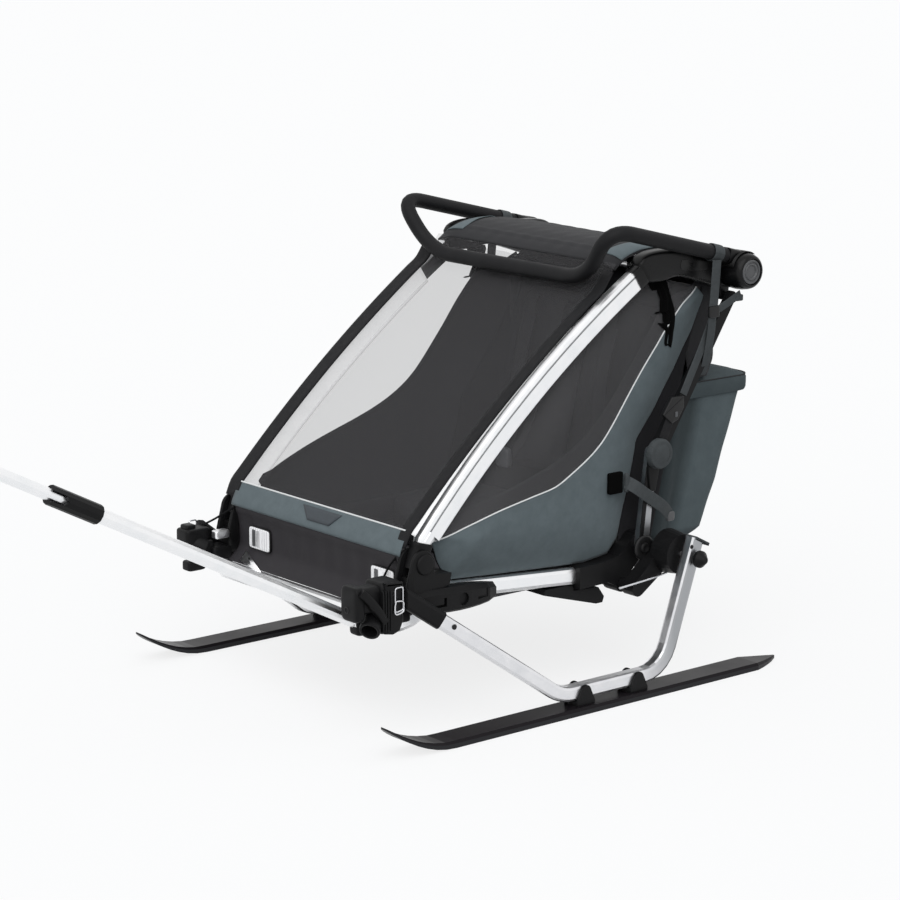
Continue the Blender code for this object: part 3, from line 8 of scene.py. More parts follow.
import bpy
import numpy as np
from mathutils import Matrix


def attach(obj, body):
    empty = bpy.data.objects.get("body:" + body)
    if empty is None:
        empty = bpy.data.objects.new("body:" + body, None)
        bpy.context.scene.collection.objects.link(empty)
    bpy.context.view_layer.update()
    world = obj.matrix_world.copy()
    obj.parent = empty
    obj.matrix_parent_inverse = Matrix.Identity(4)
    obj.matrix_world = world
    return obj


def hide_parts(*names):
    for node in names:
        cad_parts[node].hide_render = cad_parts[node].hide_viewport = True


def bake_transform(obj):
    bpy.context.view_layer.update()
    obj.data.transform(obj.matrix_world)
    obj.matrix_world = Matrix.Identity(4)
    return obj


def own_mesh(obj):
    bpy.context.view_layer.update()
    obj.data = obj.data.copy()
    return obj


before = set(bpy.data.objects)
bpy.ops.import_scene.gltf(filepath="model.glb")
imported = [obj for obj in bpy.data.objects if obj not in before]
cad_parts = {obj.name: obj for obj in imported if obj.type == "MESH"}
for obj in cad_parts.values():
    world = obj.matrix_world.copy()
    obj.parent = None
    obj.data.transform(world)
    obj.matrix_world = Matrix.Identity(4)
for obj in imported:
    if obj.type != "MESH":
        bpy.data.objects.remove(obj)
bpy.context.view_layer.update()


# Camera: solved from the photograph, a long lens at the trailer's front left, 12 degrees above it.
camera = bpy.data.objects.new("camera", bpy.data.cameras.new("camera"))
bpy.context.scene.collection.objects.link(camera)
camera.data.lens = 114.85
camera.data.sensor_width = 36.0
camera.data.clip_end = 200.0
camera.location = (4.05747, -2.78691, 1.56218)
camera.rotation_euler = (radians(90 - 12.3694), 0.0, radians(50.71187))
bpy.context.scene.camera = camera
bpy.context.scene.view_settings.view_transform = "Standard"


# Studio: a white sweep all round, one broad soft lamp from the front left, and a pale floor that
# keeps the shadow. What the eye and the reflections see of the sweep is white at strength 1.
def linear(hex_code):
    """An sRGB hex colour as linear RGBA: each channel through the sRGB curve."""
    channels = np.array([int(hex_code[i:i + 2], 16) for i in (1, 3, 5)]) / 255
    curve = np.where(channels <= 0.04045, channels / 12.92, ((channels + 0.055) / 1.055) ** 2.4)
    return (*(float(c) for c in curve), 1.0)


def add(tree, kind, inputs=(), **settings):
    """One node with its settings; inputs maps socket names or numbers to values or to other sockets."""
    made = tree.nodes.new("ShaderNode" + kind)
    for key, value in settings.items():
        setattr(made, key, value)
    for key, value in dict(inputs).items():
        if isinstance(value, bpy.types.NodeSocket):
            tree.links.new(value, made.inputs[key])
        else:
            made.inputs[key].default_value = value
    return made


def seen_directly(tree):
    """1 for camera, glossy and transmission rays, and 0 for the rays that light things."""
    path = add(tree, "LightPath")
    first = add(tree, "Math", {0: path.outputs["Is Camera Ray"], 1: path.outputs["Is Glossy Ray"]},
                operation="MAXIMUM")
    both = add(tree, "Math", {0: first.outputs[0], 1: path.outputs["Is Transmission Ray"]},
               operation="MAXIMUM")
    return both.outputs[0]


world = bpy.data.worlds.new("white_sweep")
bpy.context.scene.world = world
world.use_nodes = True
sweep_tree = world.node_tree
sweep_tree.nodes.clear()
lit_by = add(sweep_tree, "Background", {"Color": linear("#fbfdff"), "Strength": 0.62})
seen_as = add(sweep_tree, "Background", {"Color": (1, 1, 1, 1), "Strength": 1.0})
either = add(sweep_tree, "MixShader",
             {0: seen_directly(sweep_tree), 1: lit_by.outputs[0], 2: seen_as.outputs[0]})
add(sweep_tree, "OutputWorld", {"Surface": either.outputs[0]})

lamp = bpy.data.objects.new("soft_key", bpy.data.lights.new("soft_key", "SUN"))
bpy.context.scene.collection.objects.link(lamp)
lamp.data.energy = 1.35
lamp.data.angle = radians(70)
lamp.rotation_euler = (radians(47), 0.0, radians(46))

floor_mesh = bpy.data.meshes.new("floor")
floor_mesh.from_pydata([(-60, -60, -0.0005), (60, -60, -0.0005), (60, 60, -0.0005), (-60, 60, -0.0005)], [],
                       [(0, 1, 2, 3)])
floor = bpy.data.objects.new("floor", floor_mesh)
bpy.context.scene.collection.objects.link(floor)
floor_paint = bpy.data.materials.new("pale_floor_paint")
floor_paint.use_nodes = True
tree = floor_paint.node_tree
tree.nodes.clear()
diffuse = add(tree, "BsdfDiffuse", {"Color": linear("#7d7e7f")})
glow = add(tree, "Emission", {"Color": (1, 1, 1, 1), "Strength": 0.79})
dark = add(tree, "Emission", {"Color": (0, 0, 0, 1), "Strength": 0.0})
shown = add(tree, "MixShader", {0: seen_directly(tree), 1: dark.outputs[0], 2: glow.outputs[0]})
both = add(tree, "AddShader", {0: diffuse.outputs[0], 1: shown.outputs[0]})
add(tree, "OutputMaterial", {"Surface": both.outputs[0]})
floor_mesh.materials.append(floor_paint)


# Frame tubes: satin anodised aluminium extrusions, cut, bent and drilled, so they stay as in the CAD.
# Etched and anodised metal has a fine even grain that spreads its highlights softly.
def mottle(tree, shader, colours, roughness, patch, seed=0.0):
    """Colour and roughness that drift between two values over patches of the given size in metres."""
    where = add(tree, "TexCoord").outputs["Object"]
    noise = add(tree, "TexNoise", {"Vector": where, "W": seed, "Scale": 1 / patch, "Detail": 4.0,
                                   "Roughness": 0.6}, noise_dimensions="4D")
    tint = add(tree, "ValToRGB", {0: noise.outputs["Fac"]})
    tint.color_ramp.elements[0].position = 0.3
    tint.color_ramp.elements[1].position = 0.7
    tint.color_ramp.elements[0].color = linear(colours[0])
    tint.color_ramp.elements[1].color = linear(colours[1])
    tree.links.new(tint.outputs[0], shader.inputs["Base Color"])
    rough = add(tree, "MapRange", {"Value": noise.outputs["Fac"], "From Min": 0.3, "From Max": 0.7,
                                   "To Min": roughness[0], "To Max": roughness[1]})
    tree.links.new(rough.outputs[0], shader.inputs["Roughness"])
    return where


def grain(tree, shader, where, size, height, strength):
    """Fine even relief: noise of the given grain size and height in metres, as a bump."""
    noise = add(tree, "TexNoise", {"Vector": where, "Scale": 1 / size, "Detail": 2.0, "Roughness": 0.5})
    bump = add(tree, "Bump", {"Height": noise.outputs["Fac"], "Distance": height, "Strength": strength})
    tree.links.new(bump.outputs[0], shader.inputs["Normal"])


def weave(tree, shader, pitch, height, strength):
    """Plain weave from the UV map: two crossed sine bands of one thread pitch, in metres, as a bump."""
    where = add(tree, "TexCoord").outputs["UV"]
    scale = 2 * pi / 20 / pitch
    warp = add(tree, "TexWave", {"Vector": where, "Scale": scale, "Distortion": 0.6, "Detail": 1.0,
                                 "Detail Scale": 0.3}, bands_direction="X")
    weft = add(tree, "TexWave", {"Vector": where, "Scale": scale, "Distortion": 0.6, "Detail": 1.0,
                                 "Detail Scale": 0.3}, bands_direction="Y")
    threads = add(tree, "Math", {0: warp.outputs["Fac"], 1: weft.outputs["Fac"]}, operation="ADD")
    bump = add(tree, "Bump", {"Height": threads.outputs[0], "Distance": height, "Strength": strength})
    tree.links.new(bump.outputs[0], shader.inputs["Normal"])


def parts_of(material):
    """A material's tree and its Principled shader."""
    return material.node_tree, material.node_tree.nodes["Principled BSDF"]


def surface(name, colour, roughness, tones, drift, patch, seed=0.0, metallic=0.0, reflects=0.5, sheen=0.0,
            glow=0.0, relief=(), threads=()):
    """A Principled finish: tones and roughness drift over patches of a size in metres, under relief of a
    grain size or threads of a pitch, each given with its height in metres and its strength."""
    made = bpy.data.materials.new(name)
    made.use_nodes = True
    tree, shader = parts_of(made)
    for socket, value in (("Base Color", linear(colour)), ("Roughness", roughness), ("Metallic", metallic),
                          ("Specular IOR Level", reflects), ("Sheen Weight", sheen),
                          ("Emission Color", (1, 1, 1, 1)), ("Emission Strength", glow)):
        shader.inputs[socket].default_value = value
    where = mottle(tree, shader, tones, drift, patch, seed)
    if relief:
        grain(tree, shader, where, *relief)
    if threads:
        weave(tree, shader, *threads)
    return made


aluminium = surface("satin_anodised_aluminium", "#f2f3f4", 0.3, ("#eceef0", "#f7f7f8"), (0.27, 0.36), 0.03,
                    relief=(0.0015, 0.00004, 0.25), metallic=1.0)


def dress(finish, *names):
    """Give CAD nodes a finish through their material slots."""
    for name in names:
        for material_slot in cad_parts[name].material_slots:
            material_slot.material = finish


dress(aluminium, "lower_frame", "pillar_left", "pillar_right", "tow_arm_rear", "tow_arm_front",
      "rear_cross_tube", "roof_bow", "axle_pin_left", "axle_pin_right")

# Ski frames: the same extrusion. Their rear posts stand in the shade under the bag and read greyer, so
# painted shade darkens the metal over the last bend, on the faces that look sideways. The lower links are
# painted in that shaded tone all over.
ski_metal = surface("ski_frame_aluminium_painted_shade", "#e2e3e5", 0.32, ("#dadbde", "#e8e8ea"), (0.29, 0.38), 0.03,
                    relief=(0.0015, 0.00004, 0.25), metallic=1.0)
tree, shader = parts_of(ski_metal)
along_y = add(tree, "SeparateXYZ", {0: add(tree, "TexCoord").outputs["Object"]}).outputs["Y"]
shade = add(tree, "MapRange", {"Value": along_y, "From Min": 0.655, "From Max": 0.745, "To Min": 0.0,
                               "To Max": 1.0})
bright = shader.inputs["Base Color"].links[0].from_socket
sideways = add(tree, "SeparateXYZ", {0: add(tree, "NewGeometry").outputs["Normal"]}).outputs["X"]
sideways = add(tree, "Math", {0: sideways}, operation="ABSOLUTE")
flank = add(tree, "MapRange", {"Value": sideways.outputs[0], "From Min": 0.5, "From Max": 0.8, "To Min": 0.0,
                               "To Max": 1.0})
shade = add(tree, "Math", {0: shade.outputs[0], 1: flank.outputs[0]}, operation="MULTIPLY")
# Painted shade: the posts' colour is mixed towards a darker grey.
post_painted_shade = add(tree, "Mix", {0: shade.outputs[0], 6: bright, 7: linear("#a4a6a9")}, data_type="RGBA")
tree.links.new(post_painted_shade.outputs[2], shader.inputs["Base Color"])
dress(ski_metal, "ski_frame_left", "ski_frame_right")
# Painted shade: the lower links are coloured in the posts' shaded grey all over.
link_metal_painted_shade = surface("aluminium_in_painted_shade", "#a3a5a8", 0.38, ("#9c9ea1", "#abadb0"), (0.34, 0.44), 0.03,
                     relief=(0.0015, 0.00004, 0.25), metallic=1.0)
dress(link_metal_painted_shade, "upright_lower_left", "upright_lower_right")


# Castings and mouldings: black glass-filled nylon from spark-eroded moulds, which leaves a fine
# even grain and a dull sheen; grain of 0.4 mm is drawn 1.2 mm wide so that it shows.
nylon = surface("black_moulded_nylon", "#151516", 0.45, ("#121213", "#19191a"), (0.38, 0.52), 0.05,
                relief=(0.0012, 0.0001, 0.35), reflects=0.14)
dress(nylon, "corner_casting_left", "corner_casting_right", "rail_moulding_left", "rail_moulding_right",
      "axle_beam", "suspension_arm_left", "suspension_arm_right", "receiver_left", "receiver_right",
      "storage_bracket_left", "storage_bracket_right", "foot_plate_left", "foot_plate_right",
      "ski_frame_sleeve_left", "ski_frame_sleeve_right", "ski_saddle_front_left", "ski_saddle_front_right",
      "ski_saddle_rear_left", "ski_saddle_rear_right", "upright_upper_left", "upright_upper_right",
      "brake_pedal", "arm_coupler", "arm_end_fitting", "axle_button_left", "axle_button_right",
      "handlebar_hub_left", "handlebar_hub_right", "hub_dial_left", "hub_dial_right")

# Side mouldings at the hubs: the same nylon from a polished mould, with a glossier skin.
gloss = surface("polished_moulded_nylon", "#0b0b0c", 0.28, ("#0b0b0c", "#101011"), (0.24, 0.36), 0.06,
                relief=(0.004, 0.0001, 0.1), reflects=0.2)
dress(gloss, "hub_moulding_left", "hub_moulding_right")

# Front panel and floor tray: charcoal polyester with a polyurethane coating, pressed over a board.
coated = surface("coated_polyester", "#3b393c", 0.6, ("#363538", "#403e42"), (0.52, 0.68), 0.04,
                 relief=(0.0022, 0.00015, 0.4))
dress(coated, "front_panel", "floor_tub")

# Skis: black ABS top sheet with a satin lacquer, paler sidewalls on the steep faces and a sintered base.
ski_sheet = surface("ski_top_sheet", "#1a171a", 0.32, ("#181518", "#1d1a1d"), (0.28, 0.38), 0.12,
                    relief=(0.0016, 0.00002, 0.15), reflects=0.08)
tree, shader = parts_of(ski_sheet)
upward = add(tree, "SeparateXYZ", {0: add(tree, "NewGeometry").outputs["Normal"]}).outputs["Z"]
walls = add(tree, "MapRange", {"Value": add(tree, "Math", {0: upward}, operation="ABSOLUTE").outputs[0],
                               "From Min": 0.25, "From Max": 0.4, "To Min": 1.0, "To Max": 0.0})
sheet_tint = shader.inputs["Base Color"].links[0].from_socket
two_tone = add(tree, "Mix", {0: walls.outputs[0], 6: sheet_tint, 7: linear("#343436")}, data_type="RGBA")
tree.links.new(two_tone.outputs[2], shader.inputs["Base Color"])
dress(ski_sheet, "ski_left", "ski_right")

# Push bar: bent tube in a black EVA foam sleeve with a fine open-cell skin, matt and a little worn.
foam = surface("eva_foam_sleeve", "#161618", 0.6, ("#141416", "#19191b"), (0.55, 0.68), 0.04,
               relief=(0.0018, 0.00015, 0.35), reflects=0.2)

# Wire bails: zinc-plated spring steel.
wire = surface("zinc_plated_wire", "#d9dadd", 0.22, ("#cfd0d4", "#e2e3e6"), (0.18, 0.3), 0.01, metallic=1.0)
dress(wire, "receiver_bail_left", "receiver_bail_right")


# Front cover: one stretched cloth from the foot band up to the roof hem. Its window is dark see-through
# mesh bound in black webbing on both sides, over a blue-grey polyester band with a reflective piping.
ROW_SHIFT = np.array([0.0, -0.0207044, 0.0])
SIDES = (("left", 1), ("right", -1))
HUB = (1.000, 0.745)
LUG = (0.982, 0.698)


def mm(*points):
    """A table of points that are given in millimetres, as metres."""
    return np.array(points) / 1000


def through(points, count):
    """A smooth line through the points: a Catmull-Rom spline, then stepped at even lengths."""
    p = np.asarray(points, float)
    q = np.vstack([2 * p[0] - p[1], p, 2 * p[-1] - p[-2]])
    t = np.linspace(0, len(p) - 1, 40 * len(p))
    k = np.minimum(t.astype(int), len(p) - 2)
    f = (t - k)[:, None]
    a, b, c, d = q[k], q[k + 1], q[k + 2], q[k + 3]
    line = 0.5 * (2 * b + (c - a) * f + (2 * a - 5 * b + 4 * c - d) * f ** 2
                  + (3 * b - a - 3 * c + d) * f ** 3)
    return even(line, count)


def even(line, count):
    """The same polyline stepped at even lengths: each coordinate interpolated over the distance walked."""
    line = np.asarray(line, float)
    walk = np.r_[0, np.cumsum(np.linalg.norm(np.diff(line, axis=0), axis=1))]
    steps = np.linspace(0, walk[-1], count)
    return np.stack([np.interp(steps, walk, line[:, i]) for i in range(line.shape[1])], axis=1)


def heading(line):
    """Unit directions along a line of points."""
    along = np.gradient(np.asarray(line, float), axis=0)
    return along / np.linalg.norm(along, axis=1)[:, None]


def arched(start, end, out, rise, count):
    """A parabola of points from start to end, whose middle stands out by the rise."""
    t = np.linspace(0, 1, count)[:, None]
    return np.array(start) * (1 - t) + np.array(end) * t + 4 * t * (1 - t) * np.array(out) * rise


def grid_of(x, y, z):
    """One grid of points from three coordinates, each spread over the rows and columns that it lacks."""
    return np.stack(np.broadcast_arrays(x, y, z), axis=-1)


def facing(grid, side):
    """The grid as it is on the left, and with its columns reversed on the right: faces stay outward."""
    return grid if side > 0 else grid[:, ::-1]


def signed_power(value, power):
    """The value's size raised to a power, with its sign kept."""
    return np.sign(value) * np.abs(value) ** power


def piece_from_grids(name, grids, finish, body, around=False, caps=False, thick=0.0, sharp=40):
    """A piece from one or more grids of points, rows by columns: each cell of four neighbours is a face.
    around joins the last column to the first, caps close both ends, and thick gives a sheet its
    thickness. The UV map is the mean distance walked along columns and rows, in metres."""
    points, faces, corners, start = [], [], [], 0
    for grid in grids:
        grid = np.asarray(grid, float) + ROW_SHIFT
        rows, columns = grid.shape[:2]
        ids = np.arange(rows * columns).reshape(rows, columns)
        if around:
            ids = np.concatenate([ids, ids[:, :1]], axis=1)
        closed = grid[:, np.arange(ids.shape[1]) % columns]
        u = np.r_[0, np.cumsum(np.linalg.norm(np.diff(closed, axis=1), axis=2).mean(0))]
        v = np.r_[0, np.cumsum(np.linalg.norm(np.diff(closed, axis=0), axis=2).mean(1))]
        uv = np.stack(np.broadcast_arrays(u[None], v[:, None]), axis=-1)
        quad_of = lambda a: np.stack([a[:-1, :-1], a[:-1, 1:], a[1:, 1:], a[1:, :-1]], axis=2)
        faces += (quad_of(ids[..., None])[..., 0].reshape(-1, 4) + start).tolist()
        corners.append(quad_of(uv).reshape(-1, 2))
        if caps:
            for end in (ids[0, :columns][::-1], ids[-1, :columns]):
                faces.append((end + start).tolist())
                corners.append((grid.reshape(-1, 3)[end] - grid[0, 0])[:, :2])
        points.append(grid.reshape(-1, 3))
        start += rows * columns
    mesh = bpy.data.meshes.new(name)
    mesh.from_pydata(np.concatenate(points).tolist(), [], faces)
    uv = np.concatenate(corners).astype(np.float32)
    mesh.uv_layers.new(name="metres").data.foreach_set("uv", uv.ravel())
    mesh.materials.append(finish)
    mesh.shade_smooth()
    mesh.set_sharp_from_angle(angle=radians(sharp))
    made = bpy.data.objects.new(name, mesh)
    bpy.context.scene.collection.objects.link(made)
    if thick:
        wall = made.modifiers.new("thickness", "SOLIDIFY")
        wall.thickness = thick
        wall.offset = 0.0
    if body:
        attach(made, body)
    return made


def piece_from_grid(name, grid, *rest, **options):
    """The same from a single grid."""
    return piece_from_grids(name, [grid], *rest, **options)


def solid(name, grids, finish, body, **options):
    """A closed piece from one grid of rings, or from a list of them: each is closed round and capped."""
    grids = [grids] if isinstance(grids, np.ndarray) else grids
    return piece_from_grids(name, grids, finish, body, around=True, caps=True, **options)


def carried(path, section, up=(0, 0, 1)):
    """Rings of a closed section carried along a path. Each ring is square to the path, its first
    axis is up crossed with the path, and its second axis completes them."""
    path, section = np.asarray(path, float), np.asarray(section, float)
    along = heading(path)
    side = np.cross(np.asarray(up, float), along)
    side /= np.linalg.norm(side, axis=1)[:, None]
    top = np.cross(along, side)
    return path[:, None] + side[:, None] * section[None, :, :1] + top[:, None] * section[None, :, 1:]


def ring(radius, sides=16, tall=None):
    """A round or oval section: cosine and sine round the circle."""
    a = np.linspace(0, 2 * pi, sides, endpoint=False)
    return np.stack([radius * np.cos(a), (tall or radius) * np.sin(a)], axis=1)


# 600-denier polyester: threads of 0.5 mm are drawn at 2.2 mm so that the weave shows at this distance.
polyester = surface("blue_grey_polyester", "#687377", 0.85, ("#636e72", "#6d787c"), (0.8, 0.92), 0.02,
                    threads=(0.0022, 0.0003, 0.3), reflects=0.2, sheen=0.08)

# Reflective piping: glass-bead tape round a cord, pale silver and fairly smooth.
piping_tape = surface("reflective_piping", "#f0f2f2", 0.4, ("#e8eaea", "#f7f8f8"), (0.35, 0.5), 0.004)

# Nylon webbing: ribs across the band every 1.5 mm, drawn at 2.5 mm.
webbing = surface("nylon_webbing", "#1b1b1d", 0.8, ("#18181a", "#1f1f21"), (0.6, 0.8), 0.012,
                  threads=(0.0025, 0.0004, 0.45), reflects=0.2)

# White polyester tape. It glows a little: painted light, lifting it out of the shade of the border and the
# cabin.
white_tape_painted_glow = surface("white_polyester_tape_painted_glow", "#f1f2f3", 0.8, ("#ecedee", "#f6f6f7"), (0.75, 0.88), 0.02,
                     threads=(0.002, 0.0002, 0.3), reflects=0.2, glow=0.5)

# Insect mesh: black polyester net whose holes are far smaller than a pixel, so it passes a fixed
# share of light; the net's 1 mm cells are drawn 2.4 mm wide as a slight change of that share.
window_net = bpy.data.materials.new("black_window_net")
window_net.use_nodes = True
tree = window_net.node_tree
tree.nodes.clear()
where = add(tree, "TexCoord").outputs["UV"]
cells = add(tree, "TexVoronoi", {"Vector": where, "Scale": 1 / 0.0024, "Randomness": 0.2},
            voronoi_dimensions="2D")
share = add(tree, "MapRange", {"Value": cells.outputs["Distance"], "From Min": 0.0, "From Max": 0.7,
                               "To Min": 0.207, "To Max": 0.223})
thread = add(tree, "BsdfPrincipled", {"Base Color": linear("#7f7e80"), "Roughness": 0.9,
                                       "Specular IOR Level": 0.1})
hole = add(tree, "BsdfTransparent", {"Color": (1, 1, 1, 1)})
net = add(tree, "MixShader", {0: share.outputs[0], 1: hole.outputs[0], 2: thread.outputs[0]})
add(tree, "OutputMaterial", {"Surface": net.outputs[0]})

# The side windows' net is the same knit in a paler thread.
side_net = window_net.copy()
side_net.name = "pale_window_net"
side_net.node_tree.nodes["Principled BSDF"].inputs["Base Color"].default_value = linear("#9b9a9c")

COVER_HALF = 0.2562
bow = arched((0.2520, 0.3500), (0.6975, 0.7290), (-0.648, 0.761), 0.0149, 24)
cover_line = through(np.vstack([bow, [[0.712, 0.7485], [0.734, 0.7765]]]), 60)


def over_cover(line, low_x, high_x, columns, lift=0.0, hollow=0.0):
    """The (Y, Z) line drawn across X: a sheet lifted square to itself, and hollowed in its middle."""
    along = heading(line)
    out = np.stack([-along[:, 1], along[:, 0]], axis=1)
    x = np.linspace(low_x, high_x, columns)
    rise = np.sin(np.linspace(0, pi, len(line)))
    depth = lift - hollow * rise[:, None] * (1 - (x[None] / COVER_HALF) ** 2)
    yz = line[:, None] + out[:, None] * depth[..., None]
    return grid_of(x[None], yz[..., 0], yz[..., 1])


window = piece_from_grid("front_window", over_cover(cover_line, -0.256, 0.256, 41, 0.0, 0.004), window_net,
                         "upper_frame")
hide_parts("front_cover")
for word, side in SIDES:
    edge_line = through(np.vstack([[[0.240, 0.324]], bow, [[0.712, 0.7485], [0.722, 0.762]]]), 70)
    edges = over_cover(edge_line, *((0.2360, 0.2620) if side > 0 else (-0.2440, -0.2800)), 7, 0.0015)
    border = piece_from_grid(f"cover_border_{word}", facing(edges, side), webbing, "upper_frame",
                             thick=0.0025)
    # Behind each border a white tape lies against the pillar's inner face, lit by a painted glow.
    along = heading(edge_line)
    inward = np.stack([along[:, 1], -along[:, 0]], axis=1)
    yz = edge_line[:, None] + inward[:, None] * np.linspace(0.006, 0.043, 7)[None, :, None]
    strip = grid_of(side * 0.2560, yz[..., 0], yz[..., 1])[3:-14 if side > 0 else -6]
    strip = piece_from_grid(f"pillar_tape_{word}", facing(strip, -side), white_tape_painted_glow, "upper_frame",
                            thick=0.0008)
band_line = through(mm((233.5, 309.5), (235.5, 318), (243.5, 334), (252.5, 351)), 12)
band = piece_from_grid("cover_band", over_cover(band_line, -0.2540, 0.2540, 41, 0.0012), polyester,
                       "upper_frame", thick=0.002)
x = np.linspace(-0.2475, 0.2475, 60)
piping_path = np.stack([x, np.full(60, 0.2512), np.full(60, 0.3525)], 1)
solid("band_piping", carried(piping_path, ring(0.0016, 10)), piping_tape, "upper_frame")
# Bare badge place: a rubber plate sewn to the band, broad at the top.
badge_x = 0.012 + np.linspace(-1, 1, 13)[None] * (0.032 + 0.026 * np.linspace(0, 1, 5)[:, None])
badge_yz = even(even(band_line, 30)[9:26], 5)
badge_grid = grid_of(badge_x, badge_yz[:, :1] - 0.0030, badge_yz[:, 1:] + 0.0014)
rubber = surface("soft_grey_rubber", "#3a4147", 0.55, ("#353b41", "#40474d"), (0.5, 0.62), 0.015,
                 relief=(0.002, 0.0001, 0.3))
piece_from_grid("badge_place", badge_grid, rubber, "upper_frame", thick=0.0012)


# Roof: charcoal polyester pulled over the roof bow to the rear tube, with a turned hem at the front,
# a sewn ridge behind it and blue-grey gussets at both front corners.
charcoal = surface("charcoal_polyester", "#333335", 0.88, ("#2f2f31", "#373739"), (0.82, 0.95), 0.025,
                   seed=1.0, threads=(0.0022, 0.0003, 0.3), reflects=0.2, sheen=0.05)
roof_line = through(mm((732, 774.5), (746, 785), (765, 793.5), (785, 799.5), (810, 803), (860, 802.5),
                       (920, 793.5), (985, 779), (1020, 764), (1036, 740)), 64)
roof_half = 0.2532
x = np.linspace(-1, 1, 61)
sag = 0.004 * np.sin(pi * np.linspace(0, 1, 64))[:, None] * (1 - x[None] ** 2)
edge_drop = 0.010 * np.abs(x[None]) ** 14
ridge = 0.0022 * np.exp(-((roof_line[:, :1] - 0.765) / 0.0035) ** 2)
ripple = 0.0006 * np.sin(37 * x[None] + 9 * roof_line[:, :1]) * np.sin(60 * roof_line[:, :1])
height = roof_line[:, 1:] - sag - edge_drop + ridge + ripple
roof = piece_from_grid("roof_cloth", grid_of(roof_half * x[None], roof_line[:, :1], height), charcoal,
                       "upper_frame", thick=0.0025)
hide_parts("roof_canopy")
for word, side in SIDES:
    v = np.linspace(0, 1, 30)
    column = np.linspace(0, 1, 9)
    y = 0.750 + 0.120 * v
    inner = roof_half * (0.80 + 0.17 * v ** 1.5)
    px = side * (inner[:, None] * (1 - column[None]) + 0.2515 * column[None])
    base = np.interp(y, roof_line[:, 0], roof_line[:, 1])[:, None] - 0.010 * (np.abs(px) / roof_half) ** 14
    gusset = grid_of(px, y[:, None], base + 0.0028)
    patch = piece_from_grid(f"roof_gusset_{word}", facing(gusset, side), polyester, "upper_frame",
                            thick=0.0012)


# Side panels: each is one stretched cloth, bowed outwards by the cabin hoop inside it. Above an
# S-shaped reflective piping it is window net, and below it blue-grey polyester.
def bowed(points, side):
    """(Y, Z) points set out along X: 0 at the panel's outline, rising over 95 mm to a 31 mm bulge, which
    falls to 22 mm at the rear, where the folding upright swings past the cloth."""
    away = np.linalg.norm(points[..., None, :] - panel_outline, axis=-1).min(-1)
    most = np.interp(points[..., 0], (0.560, 0.690), (0.031, 0.022))
    bulge = most * (1 - (1 - np.minimum(away / 0.095, 1)) ** 2)
    return grid_of(side * (0.2545 + bulge), points[..., 0], points[..., 1])


pillar_edge = arched((0.300, 0.338), (0.775, 0.735), (-0.639, 0.769), 0.022, 40)
hub_edge = mm((790, 734.5), (828, 731), (857, 735.5), (905, 724.5), (947, 711))
rear_edge = mm((752, 300), (770, 364), (781, 405), (787, 442), (825, 487), (874, 556), (924, 633), (956, 695))
foot_edge = mm((300, 334), (314, 290), (336, 251.8), (440, 243.9), (550, 236.6), (660, 229.8), (720, 237.2),
               (742, 262))
panel_outline = even(np.vstack([foot_edge, rear_edge, hub_edge[::-1], pillar_edge[::-1], foot_edge[:1]]), 400)
curve = through(mm((300, 325), (337, 337), (372, 349), (435, 367), (504, 380), (564, 391), (604, 408),
                   (641, 427), (667, 443), (689, 461), (713, 489), (737, 521), (762, 554), (786, 584),
                   (818, 621), (846, 654), (884, 686), (920, 704.5), (936, 714)), 120)
skirt_line = even(np.vstack([foot_edge, rear_edge, curve[-1:]]), 120)
top_line = even(np.vstack([pillar_edge, hub_edge, curve[-1:]]), 120)
blend_up = np.linspace(0, 1, 28)[:, None, None]
for word, side in SIDES:
    skirt = bowed(skirt_line[None] * (1 - blend_up) + curve[None] * blend_up, side)
    light = bowed(curve[None] * (1 - blend_up) + top_line[None] * blend_up, side)
    drag = 0.0012 * np.sin(70 * skirt[..., 1] + 40 * skirt[..., 2])
    skirt[..., 0] += side * drag * np.sin(pi * np.linspace(0, 1, 28))[:, None]
    lower = piece_from_grid(f"side_cloth_{word}", facing(skirt, side), polyester, "carriage", thick=0.002)
    upper = piece_from_grid(f"side_window_{word}", facing(light, side), side_net, "carriage")
    welt_path = bowed(curve, side) + np.array([side * 0.0012, 0, 0])
    welt = solid(f"side_piping_{word}", carried(welt_path, ring(0.0014, 10), (1, 0, 0)), piping_tape,
                 "carriage")
    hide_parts(f"side_panel_{word}")
    for cloth in (lower, upper, welt):
        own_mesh(cloth)

# Linings: the cabin is lined with dark polyester, so the side cloths are dark inside, and a wall of
# it runs round behind the seats from one side panel's rear edge to the other's.
lining = surface("dark_lining_cloth", "#262628", 0.9, ("#232325", "#29292b"), (0.85, 0.95), 0.03, seed=2.0,
                 threads=(0.003, 0.0003, 0.25), reflects=0.1)


lining_edge = through(mm((296, 345), (310, 359), (406, 387), (502, 415), (575, 439), (637, 469), (687, 508),
                         (750, 581), (801, 646), (853, 700), (936, 714)), 120)


def back_line(z):
    """Y of the seat back's rear face at a height: a straight lean."""
    return 0.838 + (np.asarray(z) - 0.1998) * (0.955 - 0.838) / (0.690 - 0.1998)


